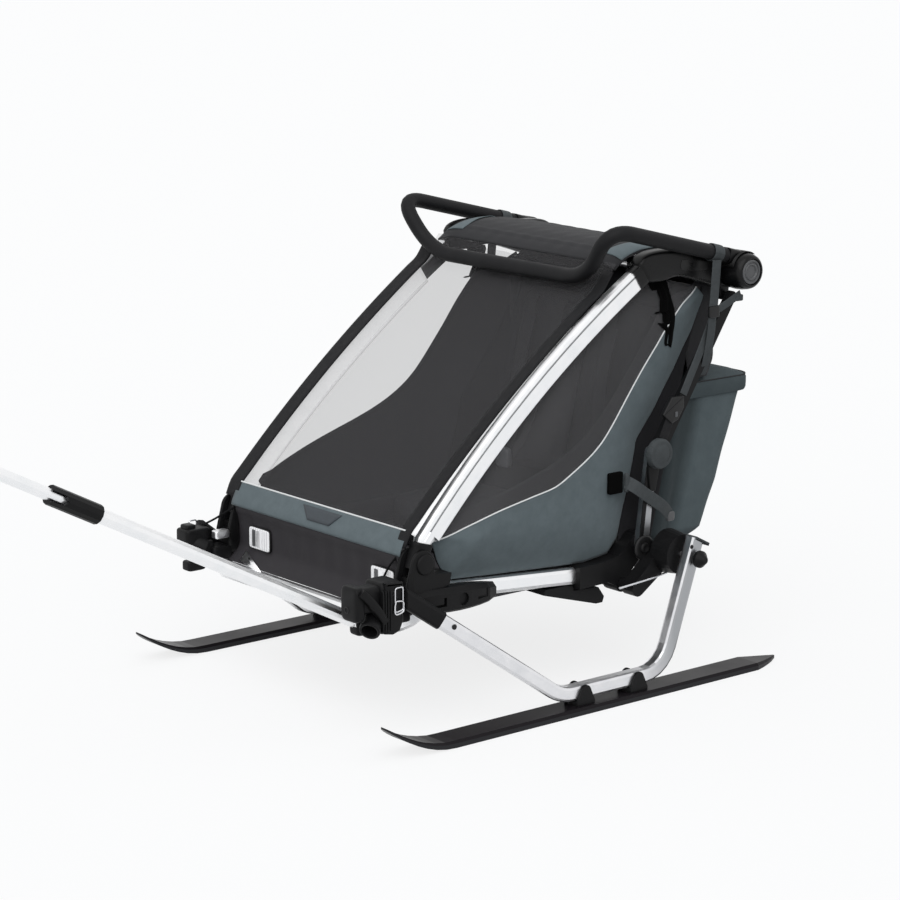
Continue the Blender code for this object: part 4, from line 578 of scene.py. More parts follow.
for word, side in SIDES:
    inner = bowed(skirt_line[None] * (1 - blend_up) + lining_edge[None] * blend_up, side)
    inner[..., 0] -= side * 0.0035
    inside = piece_from_grid(f"side_lining_{word}", facing(inner, side), lining, "carriage", thick=0.0015)
    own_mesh(inside)
    y = np.linspace(0.276, 0.742, 40)
    fall = through(mm((250, 272), (246.2, 266), (243, 250), (242, 226), (241.5, 203)), 12)
    sill = grid_of(side * fall[None, :, 0], y[:, None], fall[None, :, 1])
    cover = piece_from_grid(f"sill_lining_{word}", facing(sill, side), lining, "carriage", thick=0.001)
z = np.linspace(0.226, 0.712, 34)
side_y = np.interp(z, rear_edge[:, 1], rear_edge[:, 0]) - 0.004
wall_y = back_line(z) - 0.0025
fractions = np.array([0.0, 0.35, 0.75, 0.97, 1.0, 1.0, 1.0, 0.97, 0.75, 0.35, 0.0])
stations = np.array([-0.2530, -0.2526, -0.2500, -0.2400, -0.2100, 0.0, 0.2100, 0.2400, 0.2500, 0.2526,
                     0.2530])
plan = grid_of(stations[None], side_y[:, None] + (wall_y - side_y)[:, None] * fractions[None], z[:, None])
wall_rows = np.stack([through(row, 61) for row in plan])
back_wall = piece_from_grid("back_lining", wall_rows, lining, "carriage", thick=0.0018)
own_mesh(back_wall)

# Rear cloth: charcoal polyester from the rear tube down into the bag, rounded at both sides.
rear_rows = through(mm((984, 540), (1000, 575), (1001, 620), (1006, 660), (1020, 700), (1034, 736)), 26)
front_y = np.interp(rear_rows[:, 1], [0.54, 0.60, 0.70, 0.74], [0.925, 0.915, 0.910, 0.960])
fractions = np.array([0.0, 0.5, 0.9, 1.0, 1.0, 1.02, 1.0, 1.0, 0.9, 0.5, 0.0])
stations = np.array([-0.2500, -0.2505, -0.2440, -0.2250, -0.1500, 0.0, 0.1500, 0.2250, 0.2440, 0.2505,
                     0.2500])
plan = grid_of(stations[None], front_y[:, None] + (rear_rows[:, 0] - front_y)[:, None] * fractions[None],
               rear_rows[:, 1:])
rear_grid = np.stack([through(row, 61) for row in plan])
rear_grid[..., 1] += 0.0015 * np.sin(55 * rear_grid[..., 0]) * np.sin(24 * rear_grid[..., 2])
rear_cloth = piece_from_grid("rear_cloth", rear_grid, charcoal, "", thick=0.002)
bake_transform(rear_cloth)


# Seats: two foam pads on the bench and two on the back, sewn in dark polyester. Each starts as a rounded slab
# and is pumped up by a short cloth simulation with its travel capped.
def slab(low, high, power=0.35, rows=24, columns=48):
    """A closed rounded slab: a superellipsoid, whose sines and cosines are raised to a small power."""
    low, high = np.array(low), np.array(high)
    a = np.linspace(-pi / 2 + 0.02, pi / 2 - 0.02, rows)[:, None]
    b = np.linspace(0, 2 * pi, columns, endpoint=False)[None]
    level = signed_power(np.cos(a), power)
    unit = grid_of(level * signed_power(np.cos(b), power), level * signed_power(np.sin(b), power),
                   signed_power(np.sin(a), power))
    return (low + high) / 2 + unit * (high - low) / 2


def pump_up(pad, cap, voxel=0.006, pressure=4.0):
    """Voxel remesh, then a cloth simulation under pressure; no point moves further than the cap."""
    remesh = pad.modifiers.new("voxels", "REMESH")
    remesh.mode = "VOXEL"
    remesh.voxel_size = voxel
    bpy.context.view_layer.update()
    settle = bpy.data.meshes.new_from_object(pad.evaluated_get(bpy.context.evaluated_depsgraph_get()))
    pad.modifiers.clear()
    pad.data = settle
    pad.data.shade_smooth()
    count = len(settle.vertices)
    before = np.empty(count * 3)
    settle.vertices.foreach_get("co", before)
    cloth = pad.modifiers.new("cloth", "CLOTH")
    cloth.settings.use_pressure = True
    cloth.settings.uniform_pressure_force = pressure
    cloth.settings.effector_weights.gravity = 0.0
    cloth.point_cache.frame_start = 1
    cloth.point_cache.frame_end = 20
    for step in range(1, 21):
        bpy.context.scene.frame_set(step)
    swollen = pad.evaluated_get(bpy.context.evaluated_depsgraph_get()).to_mesh()
    after = np.empty(count * 3)
    swollen.vertices.foreach_get("co", after)
    pad.modifiers.clear()
    bpy.context.scene.frame_set(1)
    move = (after - before).reshape(-1, 3)
    length = np.linalg.norm(move, axis=1)[:, None]
    move *= np.minimum(1, cap / np.maximum(length, 1e-9))
    settle.vertices.foreach_set("co", (before.reshape(-1, 3) + move).ravel())
    settle.update()


seat_cloth = surface("seat_cloth", "#262628", 0.9, ("#232325", "#2a2a2c"), (0.85, 0.95), 0.02, seed=3.0,
                     relief=(0.003, 0.0004, 0.4), reflects=0.1)
lean = np.arctan2(0.955 - 0.838, 0.690 - 0.1998)
for word, side in SIDES:
    x0, x1 = sorted((side * 0.010, side * 0.226))
    base = slab((x0, 0.572, 0.212), (x1, 0.790, 0.288))
    flat_back = slab((x0 + 0.004, -0.026, 0.0), (x1 - 0.004, -0.006, 0.372))
    y = flat_back[..., 1] * cos(lean) + flat_back[..., 2] * sin(lean)
    z = flat_back[..., 2] * cos(lean) - flat_back[..., 1] * sin(lean)
    flat_back = np.stack([flat_back[..., 0], y + float(back_line(0.306)), z + 0.306], axis=2)
    for name, grid, cap, node in ((f"bench_pad_{word}", base, 0.009, "seat_bench"),
                                  (f"back_pad_{word}", flat_back, 0.007, "seat_back")):
        pad = solid(name, grid, seat_cloth, "carriage")
        pump_up(pad, cap)
        pad.data.materials.clear()
        pad.data.materials.append(seat_cloth)
        smooth = pad.modifiers.new("smooth", "SUBSURF")
        smooth.levels = smooth.render_levels = 1
        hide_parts(node)
        if node == "seat_back":
            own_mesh(pad)
# Bench shell: the board under both pads, covered in lining cloth down to the floor.
solid("bench_board", slab((-0.2318, 0.5605, 0.2000), (0.2318, 0.7995, 0.2300), 0.12), lining, "carriage")

# Harness: webbing over each back pad with padded sleeves and a grey three-way buckle.
buckle_grey = surface("grey_moulded_acetal", "#55575a", 0.5, ("#4f5154", "#5b5d60"), (0.42, 0.58), 0.01,
                      relief=(0.001, 0.00005, 0.3))


def band_along(path, width, across, thick=0.0016):
    """A flat band carried along a path: a thin rectangle with rounded long edges, its width along across."""
    a = np.linspace(0, 2 * pi, 16, endpoint=False)
    section = np.stack([thick / 2 * signed_power(np.sin(a), 0.6), width / 2 * signed_power(np.cos(a), 0.35)],
                       1)[::-1]
    path = np.asarray(path, float)
    along = heading(path)
    wide = np.broadcast_to(np.asarray(across, float), path.shape)
    wide = wide - along * (wide * along).sum(1)[:, None]
    wide /= np.linalg.norm(wide, axis=1)[:, None]
    face = np.cross(wide, along)
    return path[:, None] + face[:, None] * section[None, :, :1] + wide[:, None] * section[None, :, 1:]


harness, buckles, sleeves = [], [], []
for seat_x in (-0.118, 0.118):
    for side in (-1, 1):
        top = np.array([seat_x + side * 0.042, float(back_line(0.640)) - 0.046, 0.640])
        low = np.array([seat_x + side * 0.018, float(back_line(0.400)) - 0.056, 0.400])
        middle = (top + low) / 2 + np.array([side * 0.004, -0.004, 0.0])
        end = np.array([seat_x + side * 0.008, float(back_line(0.345)) - 0.074, 0.348])
        harness.append(band_along(through([top + [0, 0.012, 0.006], top, middle, low, end], 40), 0.020,
                                  (1, 0, 0)))
        sleeve_line = through([top * 0.9 + low * 0.1, middle, low * 0.85 + top * 0.15], 24)
        sleeves.append(band_along(sleeve_line + [0, -0.003, 0], 0.034, (1, 0, 0), 0.006))
    buckles.append(slab((seat_x - 0.019, float(back_line(0.345)) - 0.094, 0.326),
                        (seat_x + 0.019, float(back_line(0.345)) - 0.080, 0.366), 0.4, 12, 24))
for name, grids, finish in (("harness_webbing", harness, webbing), ("harness_sleeves", sleeves, seat_cloth),
                            ("harness_buckles", buckles, buckle_grey)):
    made = solid(name, grids, finish, "carriage")
    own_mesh(made)


# Cargo bag: a slack polyester tub that hangs behind the seats, wider at the top, with a stiff lid
# whose rim overhangs it. Its side walls draw in behind the uprights.
def rounded_box_ring(half_x, half_y, radius, per_corner=8):
    """A rectangle's outline with round corners, counter-clockwise: quarter circles set out to the corners."""
    a = np.linspace(0, pi / 2, per_corner)
    corners = [(1, 1, 0), (-1, 1, 1), (-1, -1, 2), (1, -1, 3)]
    arcs = [np.stack([sx * (half_x - radius) + radius * np.cos(a + k * pi / 2),
                      sy * (half_y - radius) + radius * np.sin(a + k * pi / 2)], 1) for sx, sy, k in corners]
    loop = np.concatenate(arcs)
    return even(np.vstack([loop, loop[:1]]), 121)[:-1]


def bag_rows(heights, rear, half, radius, slack):
    """Closed rings at the given heights; slack draws soft folds into the walls."""
    rows = []
    for z, y1, hx, r in zip(heights, rear, half, radius):
        y0 = float(back_line(z)) + 0.002
        loop = rounded_box_ring(hx, (y1 - y0) / 2, r)
        rows.append(np.column_stack([loop[:, 0], loop[:, 1] + (y0 + y1) / 2, np.full(len(loop), z)]))
    grid = np.stack(rows)
    v = (grid[..., 2] - 0.224) / 0.3
    valley = np.exp(-((grid[..., 1] - (0.905 + 0.035 * v)) / 0.016) ** 2)
    valley = valley * np.sin(pi * np.clip(v, 0, 1)) ** 0.5
    belly = np.sin(pi * np.clip(v, 0, 1)) * (1 - (grid[..., 0] / 0.245) ** 2)
    grid[..., 0] -= np.sign(grid[..., 0]) * slack * 0.011 * valley * (np.abs(grid[..., 0]) > 0.15)
    grid[..., 1] += slack * 0.006 * belly * (grid[..., 1] > 0.99)
    fold = 0.0016 * np.sin(42 * grid[..., 0] + 60 * grid[..., 1] + 14 * grid[..., 2])
    fold = fold * np.sin(23 * grid[..., 2] + 9 * grid[..., 0])
    grid[..., 1] += slack * fold * (grid[..., 1] > 0.96)
    return grid


bag_cloth = surface("dark_blue_grey_polyester", "#4c5558", 0.85, ("#485154", "#50595c"), (0.8, 0.92), 0.03,
                    seed=5.0, threads=(0.0022, 0.0003, 0.3), reflects=0.2)
lid_cloth = bag_cloth.copy()
lid_cloth.name = "dark_lid_polyester"
# Painted shade and light on the bag: its colour drops to 0.72 at the front of the walls, beside the uprights,
# and rises to 1.5 times towards the rear corners, where the light falls.
tree, shader = parts_of(bag_cloth)
place = add(tree, "SeparateXYZ", {0: add(tree, "TexCoord").outputs["Object"]})
leaning = add(tree, "Math", {0: place.outputs["Z"], 1: -0.19, 2: place.outputs["Y"]},
              operation="MULTIPLY_ADD")
painted_light_ramp = add(tree, "MapRange", {"Value": leaning.outputs[0], "From Min": 0.836, "From Max": 0.862,
                                    "To Min": 0.72, "To Max": 1.5})
plain = shader.inputs["Base Color"].links[0].from_socket
bag_painted_light_and_shade = add(tree, "VectorMath", {0: plain, "Scale": 1.0}, operation="SCALE")
tree.links.new(painted_light_ramp.outputs[0], bag_painted_light_and_shade.inputs["Scale"])
tree.links.new(bag_painted_light_and_shade.outputs[0], shader.inputs["Base Color"])
shader.inputs["Sheen Weight"].default_value = 0.06
z = np.linspace(0.226, 0.507, 40)
rear = np.interp(z, [0.224, 0.236, 0.260, 0.330, 0.440, 0.507], [0.988, 1.002, 1.012, 1.034, 1.066, 1.088])
half = np.interp(z, [0.224, 0.240, 0.330, 0.440, 0.507], [0.212, 0.226, 0.2365, 0.2405, 0.2415])
radius = np.interp(z, [0.224, 0.300, 0.507], [0.030, 0.036, 0.030])
tub = solid("bag_tub", bag_rows(z, rear, half, radius, 1.0), bag_cloth, "carriage")
z = np.array([0.4990, 0.4995, 0.5050, 0.5150, 0.5245, 0.5285, 0.5310, 0.5370, 0.5430, 0.5480, 0.5500])
rear = np.array([1.0920, 1.0970, 1.1000, 1.1010, 1.1005, 1.0980, 1.0920, 1.0780, 1.0540, 1.0200, 0.9900])
half = np.array([0.2430, 0.2455, 0.2465, 0.2467, 0.2465, 0.2450, 0.2400, 0.2250, 0.2000, 0.1600, 0.1100])
radius = np.array([0.028, 0.030, 0.031, 0.032, 0.031, 0.030, 0.028, 0.026, 0.022, 0.015, 0.008])
lid = solid("bag_lid", bag_rows(z, rear, half, radius, 0.0), lid_cloth, "carriage")
rim = rounded_box_ring(0.2450, (1.0988 - float(back_line(0.529)) - 0.002) / 2, 0.030)
rim = np.column_stack([rim[:, 0], rim[:, 1] + (1.0988 + float(back_line(0.529)) + 0.002) / 2,
                       np.full(120, 0.5292)])
seam = solid("bag_lid_seam", carried(np.vstack([rim, rim[:2]]), ring(0.0014, 8)), charcoal, "carriage")
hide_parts("cargo_bag")
for made in (tub, lid, seam):
    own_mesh(made)


# Small parts: plates, discs and knobs cut from outlines or turned about an axis across the trailer.
def plate(outline, low_x, high_x, edge, side):
    """A plate between two X stations from a closed (Y, Z) outline. Its edges are rounded: the outline is
    drawn in by 1 minus the sine of a quarter turn, while X goes out with 1 minus its cosine."""
    outline = even(np.vstack([outline, outline[:1]]), 97)[:-1]
    ahead, behind = np.roll(outline, -1, 0), np.roll(outline, 1, 0)
    if (outline[:, 0] * ahead[:, 1] - ahead[:, 0] * outline[:, 1]).sum() < 0:
        outline, ahead, behind = outline[::-1], behind[::-1], ahead[::-1]
    along = ahead - behind
    outward = np.stack([along[:, 1], -along[:, 0]], 1) / np.linalg.norm(along, axis=1)[:, None]
    a = np.linspace(0, pi / 2, 5)
    inset = np.r_[edge * (1 - np.sin(a)), edge * (1 - np.cos(a))]
    x = np.r_[low_x + edge * (1 - np.cos(a)), high_x - edge + edge * np.sin(a)]
    rows = outline[None] - outward[None] * inset[:, None, None]
    return facing(grid_of(side * x[:, None], rows[..., 0], rows[..., 1]), side)


def turned(profile, centre, side, sides=96):
    """Rows of (distance out along X, radius) turned about the line along X through a (Y, Z) point."""
    profile = np.asarray(profile, float)
    a = np.linspace(0, 2 * pi, sides, endpoint=False) * side
    y = centre[0] + profile[:, 1:] * np.cos(a)
    z = centre[1] + profile[:, 1:] * np.sin(a)
    return grid_of(side * profile[:, :1], y, z)


def capsule(start, end, first, last):
    """Outline of a tapered link: two half circles joined by straight sides."""
    start, end = np.array(start), np.array(end)
    heading = np.arctan2(*(end - start)[::-1])
    a = np.linspace(-pi / 2, pi / 2, 16)
    far = end + last * np.stack([np.cos(heading + a), np.sin(heading + a)], 1)
    near = start + first * np.stack([np.cos(heading + pi + a), np.sin(heading + pi + a)], 1)
    return np.vstack([far, near])


# Hub mouldings: one polished nylon shell per side from the pillar's end to the hub, well rounded, with
# the lug and boss of the upright under it and a bare badge plate snapped into its outer face.
moulding_line = through(mm((766, 776), (774, 787), (792, 793.8), (820, 796.5), (860, 795.5), (905, 791.2),
                           (950, 785), (1000, 781.2), (1025.5, 770), (1036, 745), (1025.5, 719.5),
                           (1000, 709), (978, 710.5), (947, 719.5), (905, 733), (878, 740.5), (857, 743),
                           (832, 739), (810, 737.8), (788, 740.5), (777, 754), (767, 769)), 200)
badge_line = through(mm((869, 774.5), (900, 772.5), (931, 768), (936.5, 760), (934, 751), (900, 752),
                        (871, 755.5), (865.5, 764), (869, 774.5)), 80)
badge_black = surface("black_badge_lacquer", "#0b0b0c", 0.3, ("#0a0a0b", "#0e0e0f"), (0.25, 0.36), 0.02,
                      reflects=0.3)
for word, side in SIDES:
    parts = [plate(moulding_line, 0.2535, 0.2863, 0.0085, side),
             plate(capsule((0.980, 0.728), LUG, 0.014, 0.010), 0.2665, 0.2858, 0.002, side),
             turned(mm((271, 6.5), (294.2, 6.5)), LUG, side)]
    shell = solid(f"hub_shell_{word}", parts, gloss, "upper_frame", sharp=50)
    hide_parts(f"hub_moulding_{word}")
    solid(f"badge_plate_{word}", plate(badge_line, 0.2855, 0.2872, 0.0006, side), badge_black, "upper_frame")

# Painted shade for the pillars' groove: a grey cord stands for its dark line.
groove_shade_grey = surface("painted_groove_shade", "#a2a3a5", 0.7, ("#9c9d9f", "#a9aaac"), (0.6, 0.8), 0.01,
                    reflects=0.2)
soft_square = signed_power(ring(1.0, 48), 0.45)

# Cloth rails: the pillars' extrusion goes on behind the tube as a channel that holds the side cloth's edge. A
# thin grey cord in the groove of the outer face is painted shade, drawing the groove's dark line.
tube_line = arched((0.272, 0.336), (0.775, 0.757), (-0.642, 0.767), 0.024, 40)
for word, side in SIDES:
    rail_line = tube_line[1:-1] + np.array([0.642, -0.767]) * 0.0103
    rail_path = np.hstack([np.full((38, 1), side * 0.27085), rail_line])
    rail = carried(rail_path, signed_power(soft_square, 0.5) * [0.0105, 0.0134], (0, 0.642, -0.767))
    solid(f"cloth_rail_{word}", rail, aluminium, "upper_frame")
    groove_shade_path = np.hstack([np.full((38, 1), side * 0.2802), tube_line[1:-1] + np.array([-0.0035, 0.0037])])
    solid(f"groove_painted_shade_{word}", carried(groove_shade_path, ring(0.0013, 10), (1, 0, 0)), groove_shade_grey, "upper_frame")

# Pillar collars: a nylon sleeve where each pillar enters its hub moulding.
collar_end = tube_line[-1] + np.array([0.767, 0.642]) * 0.012
for word, side in SIDES:
    collar_line = np.vstack([tube_line[-2:], collar_end]) + np.array([0.642, -0.767]) * 0.0042
    collar_path = np.hstack([np.full((3, 1), side * 0.2700), collar_line])
    collar = carried(even(collar_path, 12), soft_square * [0.0142, 0.0215], (0, 0.642, -0.767))
    solid(f"pillar_collar_{word}", collar, gloss, "upper_frame")
    socket = turned(mm((224, 10), (224.5, 11.6), (255, 11.6), (255.5, 10)), (0.800, 0.768), side)
    solid(f"bow_socket_{word}", socket, gloss, "upper_frame")

# Push bar: the foam sleeve over the bent tube, from hub to hub.
def rounded(corners, reach, count):
    """A polyline with each inner corner replaced by a quadratic curve that begins at a reach from it."""
    corners = np.asarray(corners, float)
    t = np.linspace(0, 1, 16)[:, None]
    parts = [corners[:1]]
    for before, corner, after in zip(corners[:-2], corners[1:-1], corners[2:]):
        start = corner + (before - corner) / np.linalg.norm(before - corner) * reach
        end = corner + (after - corner) / np.linalg.norm(after - corner) * reach
        parts.append(start * (1 - t) ** 2 + 2 * corner * t * (1 - t) + end * t ** 2)
    return even(np.vstack(parts + [corners[-1:]]), count)


half_bar = mm((302, 963.7, 776.2), (302, 672, 850), (224, 690, 749))
sleeve_path = rounded(np.vstack([half_bar, half_bar[::-1] * [-1, 1, 1]]), 0.060, 140)
sleeve = solid("foam_sleeve", carried(sleeve_path, ring(0.0142, 28), (0, 0.3, 1)), foam, "handlebar")
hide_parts("handlebar")

# Hub ends: moulded grip ribs over the front and top of each drum, and a dial with two raised rings.
dial_grey = surface("grey_dial_insert", "#515254", 0.35, ("#4b4c4e", "#58595b"), (0.3, 0.42), 0.01,
                    relief=(0.001, 0.00003, 0.2))
for word, side in SIDES:
    x = np.linspace(0.2890, 0.3230, 73)
    a = np.radians(np.linspace(55, 165, 40))
    teeth = np.sin((x - 0.2890) / 0.034 * 2 * pi * 7)[:, None] ** 2
    height = 0.0363 + 0.0009 * teeth * np.sin(np.linspace(0, pi, 40))[None] ** 0.3
    ribs = grid_of(side * x[:, None], HUB[0] + height * np.cos(a), HUB[1] + height * np.sin(a))
    piece_from_grid(f"hub_ribs_{word}", ribs if side > 0 else ribs[::-1], gloss, "handlebar", thick=0.0006)
    drum = turned(mm((287.1, 33.5), (289, 34.8), (304, 35.8), (316, 35.2), (327, 33.4), (333.5, 31.2),
                     (336.8, 28.5), (337.6, 26.2), (336.8, 24.8), (326.2, 24.5)), HUB, side)
    arm = mm((302, 996, 767.7), (302, 980, 771.9), (302, 963.7, 776.2)) * [side, 1, 1]
    sleeve = carried(arm, soft_square * [0.0150, 0.0145], (side, 0, 0))
    hub = solid(f"hub_drum_{word}", [drum, sleeve], gloss, "handlebar")
    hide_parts(f"handlebar_hub_{word}")
    rings = turned(mm((332, 23.5), (336.2, 22.8), (337.2, 21.2), (336.8, 19), (335.2, 18.2), (335.2, 16.2),
                      (336.6, 15.2), (337, 13.4), (336.2, 12.2), (334.6, 11.4), (334.8, 6), (335, 0.6)), HUB,
                   side)
    solid(f"dial_rings_{word}", rings, dial_grey, f"dial_{word}")
    cap = turned(mm((281.5, 18.5), (291.5, 18.5), (293.2, 17.2), (293.8, 15), (293.6, 0.6)),
                 (0.260, 0.298), side)
    solid(f"pivot_cap_{word}", cap, nylon, "upper_frame")

# Foot collars: nylon mouldings clamped round the foot of each pillar, with a rim at the top.
collar_path = through(mm((269, 256, 286), (269, 261, 302), (269, 266, 322), (269, 269, 332.5)), 16)
for word, side in SIDES:
    swell = 1 + 0.07 * np.exp(-((np.linspace(0, 1, 16) - 0.92) / 0.06) ** 2)
    shape = carried(collar_path * [side, 1, 1], soft_square * [0.0182, 0.0142], (side, 0, 0))
    centre = (collar_path * [side, 1, 1])[:, None]
    shape = centre + (shape - centre) * swell[:, None, None]
    solid(f"foot_collar_{word}", shape, nylon, "upper_frame")


# Straps: black-grey nylon webbing with acetal buckles. A loop hangs on the push bar, a strap goes
# down from it, one lies on each upright and one holds the bag to the side cloth.
strap_web = surface("grey_nylon_webbing", "#484c4e", 0.8, ("#424648", "#4f5355"), (0.6, 0.8), 0.012, seed=7.0,
                    threads=(0.0025, 0.0004, 0.45), reflects=0.2)
strap_dark = surface("black_acetal_buckle", "#161617", 0.45, ("#131314", "#1a1a1b"), (0.4, 0.52), 0.01,
                     relief=(0.001, 0.00003, 0.2), reflects=0.3)
crease_cloth = surface("black_gathered_cloth", "#060606", 0.9, ("#050505", "#090909"), (0.85, 0.95), 0.01,
                       seed=4.0, threads=(0.002, 0.0002, 0.3), reflects=0.05)
bar_way = np.array([0.0, -0.9676, 0.2526])
bar_centre = np.array([0.302, 0.9365, 0.7830])
turn = np.linspace(0, 2 * pi, 49)[:, None]
round_bar = bar_centre + 0.0158 * (np.cos(turn) * [1, 0, 0] + np.sin(turn) * [0, 0.2526, 0.9676])


def strap(name, side, points, width, across, body, finish=strap_web, thick=0.0018, squash=False, count=30):
    """One webbing band through the points on the left, or mirrored on the right, riding on its body."""
    flip = np.array([side, 1.0, 1.0])
    band = band_along(through(points, count) * flip, width, np.array(across) * flip, thick)
    made = solid(name, facing(band, side), finish, body)
    if squash:
        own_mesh(made)
    return made


for word, side in SIDES:
    flip = np.array([side, 1.0, 1.0])
    upper = f"upright_upper_{word}"
    strap(f"bar_loop_{word}", side, round_bar, 0.025, bar_way, "handlebar", count=49)
    strap(f"hang_strap_{word}", side, mm((318, 928, 772), (319, 925, 745), (319.2, 922.5, 715),
                                         (319, 920.5, 690), (318.5, 919.5, 672)), 0.022, (0, 1, 0.06),
          "upper_frame")
    strap(f"hub_strap_{word}", side, mm((318.5, 990, 703.5), (318.8, 976, 697.5), (319, 956, 689),
                                        (319, 930, 679)), 0.015, (0, -0.38, 0.92), "upper_frame")
    strap(f"strap_tail_{word}", side, mm((318.5, 919, 672), (317, 917.5, 640), (313, 915, 605),
                                         (306, 914, 575), (298, 914, 556)), 0.020, (0, 1, 0.06),
          "upper_frame")
    strap(f"upright_strap_{word}", side, mm((308.5, 930, 666), (310, 905, 618), (309.5, 880, 572),
                                            (308.5, 857, 528)), 0.018, (0, 0.85, -0.45), upper)
    strap(f"upright_strap_end_{word}", side, mm((312.5, 826, 497), (313, 814, 474), (312, 804, 452)), 0.021,
          (0, 0.85, -0.45), upper, webbing)
    strap(f"bag_strap_{word}", side, mm((286.5, 738, 375), (298.5, 750, 366), (301.2, 772, 350),
                                        (301.2, 795, 335), (299.5, 820, 318), (290, 845, 298)), 0.024,
          (0, 0.5, 0.87), "carriage", squash=True)
    for name, low, high, power, columns, finish, body in (
            ("strap_buckle", (316.5, 907, 666), (323.5, 933, 688), 0.3, 24, strap_dark, "upper_frame"),
            ("hub_strap_slide", (315, 978, 690), (320.5, 996, 702), 0.3, 24, strap_web, "upper_frame"),
            ("bag_strap_end", (286, 838, 286), (293, 856, 304), 0.4, 24, dial_grey, "carriage"),
            ("bag_strap_pad", (278, 697, 356), (285, 731, 396), 0.15, 48, crease_cloth, "carriage"),
            ("bag_strap_fold", (282, 733, 356), (290.5, 742, 392), 0.4, 24, strap_web, "carriage"),
            ("buckle_tongue", (316.5, 829, 490), (318.2, 835, 500), 0.4, 24, buckle_grey, upper)):
        block = slab(*mm(low, high), power, 12, columns) * flip
        made = solid(f"{name}_{word}", facing(block, side), finish, body)
        if name.startswith("bag_strap"):
            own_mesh(made)
    cam = mm((822, 528), (852, 527), (852, 505), (838, 484), (822, 478), (800, 497))
    solid(f"upright_buckle_{word}", plate(cam, 0.3068, 0.3170, 0.0025, side), strap_dark, upper)
    guards = [plate(mm((780, 425), (813, 425), (807, 388), (799, 352), (786, 352), (781, 388)),
                    0.2940, 0.3000, 0.0015, side),
              plate(mm((764, 265), (773.5, 265), (790, 400), (780, 400)), 0.2938, 0.2960, 0.0008, side)]
    solid(f"link_guard_{word}", guards, nylon, f"upright_lower_{word}")
    # Post ends, plugs, the spring's rods and their bolts.
    cap_line = mm((817.5, 280), (850, 263), (847.5, 257.5), (815, 274.5))
    solid(f"post_cap_{word}", plate(cap_line, 0.3625, 0.3935, 0.0018, side), strap_web, "carriage")
    plugs = [turned(mm((390.5, 4), (391.4, 3.8), (391.6, 0.6)), (0.806, 0.2620), side),
             turned(mm((338, 5), (341.2, 5), (342, 3.6), (342, 0.6)), (0.2850, 0.1925), side),
             turned(mm((294.5, 23.5), (297.5, 23.5), (299.2, 22), (299.8, 19.5), (299.2, 10), (302, 9),
                       (302.6, 7), (301, 4.5), (300, 0.6)), (0.7745, 0.2470), side),
             turned(mm((307, 28.5), (315, 28.5), (319.5, 26.5), (320.8, 23.5), (320, 20), (321.4, 17),
                       (322.2, 0.6)), (0.7950, 0.4250), side)]
    solid(f"plugs_and_bosses_{word}", plugs[:3], strap_dark, "carriage")
    solid(f"knee_cap_{word}", plugs[3], strap_web, upper)
    rod = through(mm((334, 680, 193.5), (334, 737, 197), (334, 798, 203)), 12) * flip
    solid(f"spring_rod_{word}", carried(rod, ring(0.0021, 12) * [side, 1]), wire, "carriage")


# Front panel: the coated cloth over its board falls from the foot of the cover to the crossbar, with a
# soft ridge where the board's upper edge shows through.
panel_coat = surface("charcoal_coated_cloth", "#343235", 0.7, ("#312f32", "#383639"), (0.55, 0.7), 0.05,
                     relief=(0.0022, 0.0001, 0.3), reflects=0.2)
panel_line = through(mm((233.5, 309.5), (234.5, 301), (238.5, 289), (240.5, 278), (241.5, 262), (241.8, 244),
                        (240, 234), (234, 225), (224, 216), (214, 208.8)), 60)
x = np.linspace(-1, 1, 81)
ripple = 0.0012 * np.cos(30 * x)[None] * np.sin(np.linspace(0, pi, 60))[:, None]
panel = grid_of(0.2425 * x[None], panel_line[:, :1] + ripple, panel_line[:, 1:])
panel_cloth = piece_from_grid("panel_cloth", panel[::-1], panel_coat, "carriage", thick=0.0015)
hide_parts("front_panel")

# Reflectors: clear ribbed polycarbonate in black frames, one at each lower corner of the front panel. The
# lens is given a faint glow: painted light.
lens = surface("clear_ribbed_lens_painted_glow", "#eeeff1", 0.15, ("#e6e7ea", "#f4f4f6"), (0.12, 0.22), 0.01, glow=0.22)
tree, shader = parts_of(lens)
where = add(tree, "TexCoord").outputs["Object"]
stripes = add(tree, "TexWave", {"Vector": where, "Scale": 2 * pi / 20 / 0.007}, bands_direction="X")
relief = add(tree, "Bump", {"Height": stripes.outputs["Fac"], "Distance": 0.0015, "Strength": 0.7})
tree.links.new(relief.outputs[0], shader.inputs["Normal"])
for word, low, high in (("left", 0.1690, 0.2320), ("right", -0.2015, -0.1395)):
    frame_pad = slab((low - 0.0018, 0.2355, 0.2362), (high + 0.0018, 0.2440, 0.2798), 0.2, 16, 48)
    solid(f"reflector_frame_{word}", frame_pad, strap_dark, "carriage")
    solid(f"reflector_{word}", slab((low, 0.2335, 0.2380), (high, 0.2430, 0.2780), 0.2, 16, 48), lens,
          "carriage")
    # Painted shade and highlight: a dark grey bar and a pale metal bar laid on each lens draw its vertical
    # shading.
    insets = [slab((low + 0.0105, 0.2331, 0.2420), (low + 0.0215, 0.2345, 0.2740), 0.2, 12, 32),
              slab((low + 0.0235, 0.2331, 0.2420), (low + 0.0360, 0.2345, 0.2740), 0.2, 12, 32)]
    solid(f"reflector_painted_shade_bar_{word}", insets[0], dial_grey, "carriage")
    solid(f"reflector_painted_highlight_bar_{word}", insets[1], aluminium, "carriage")
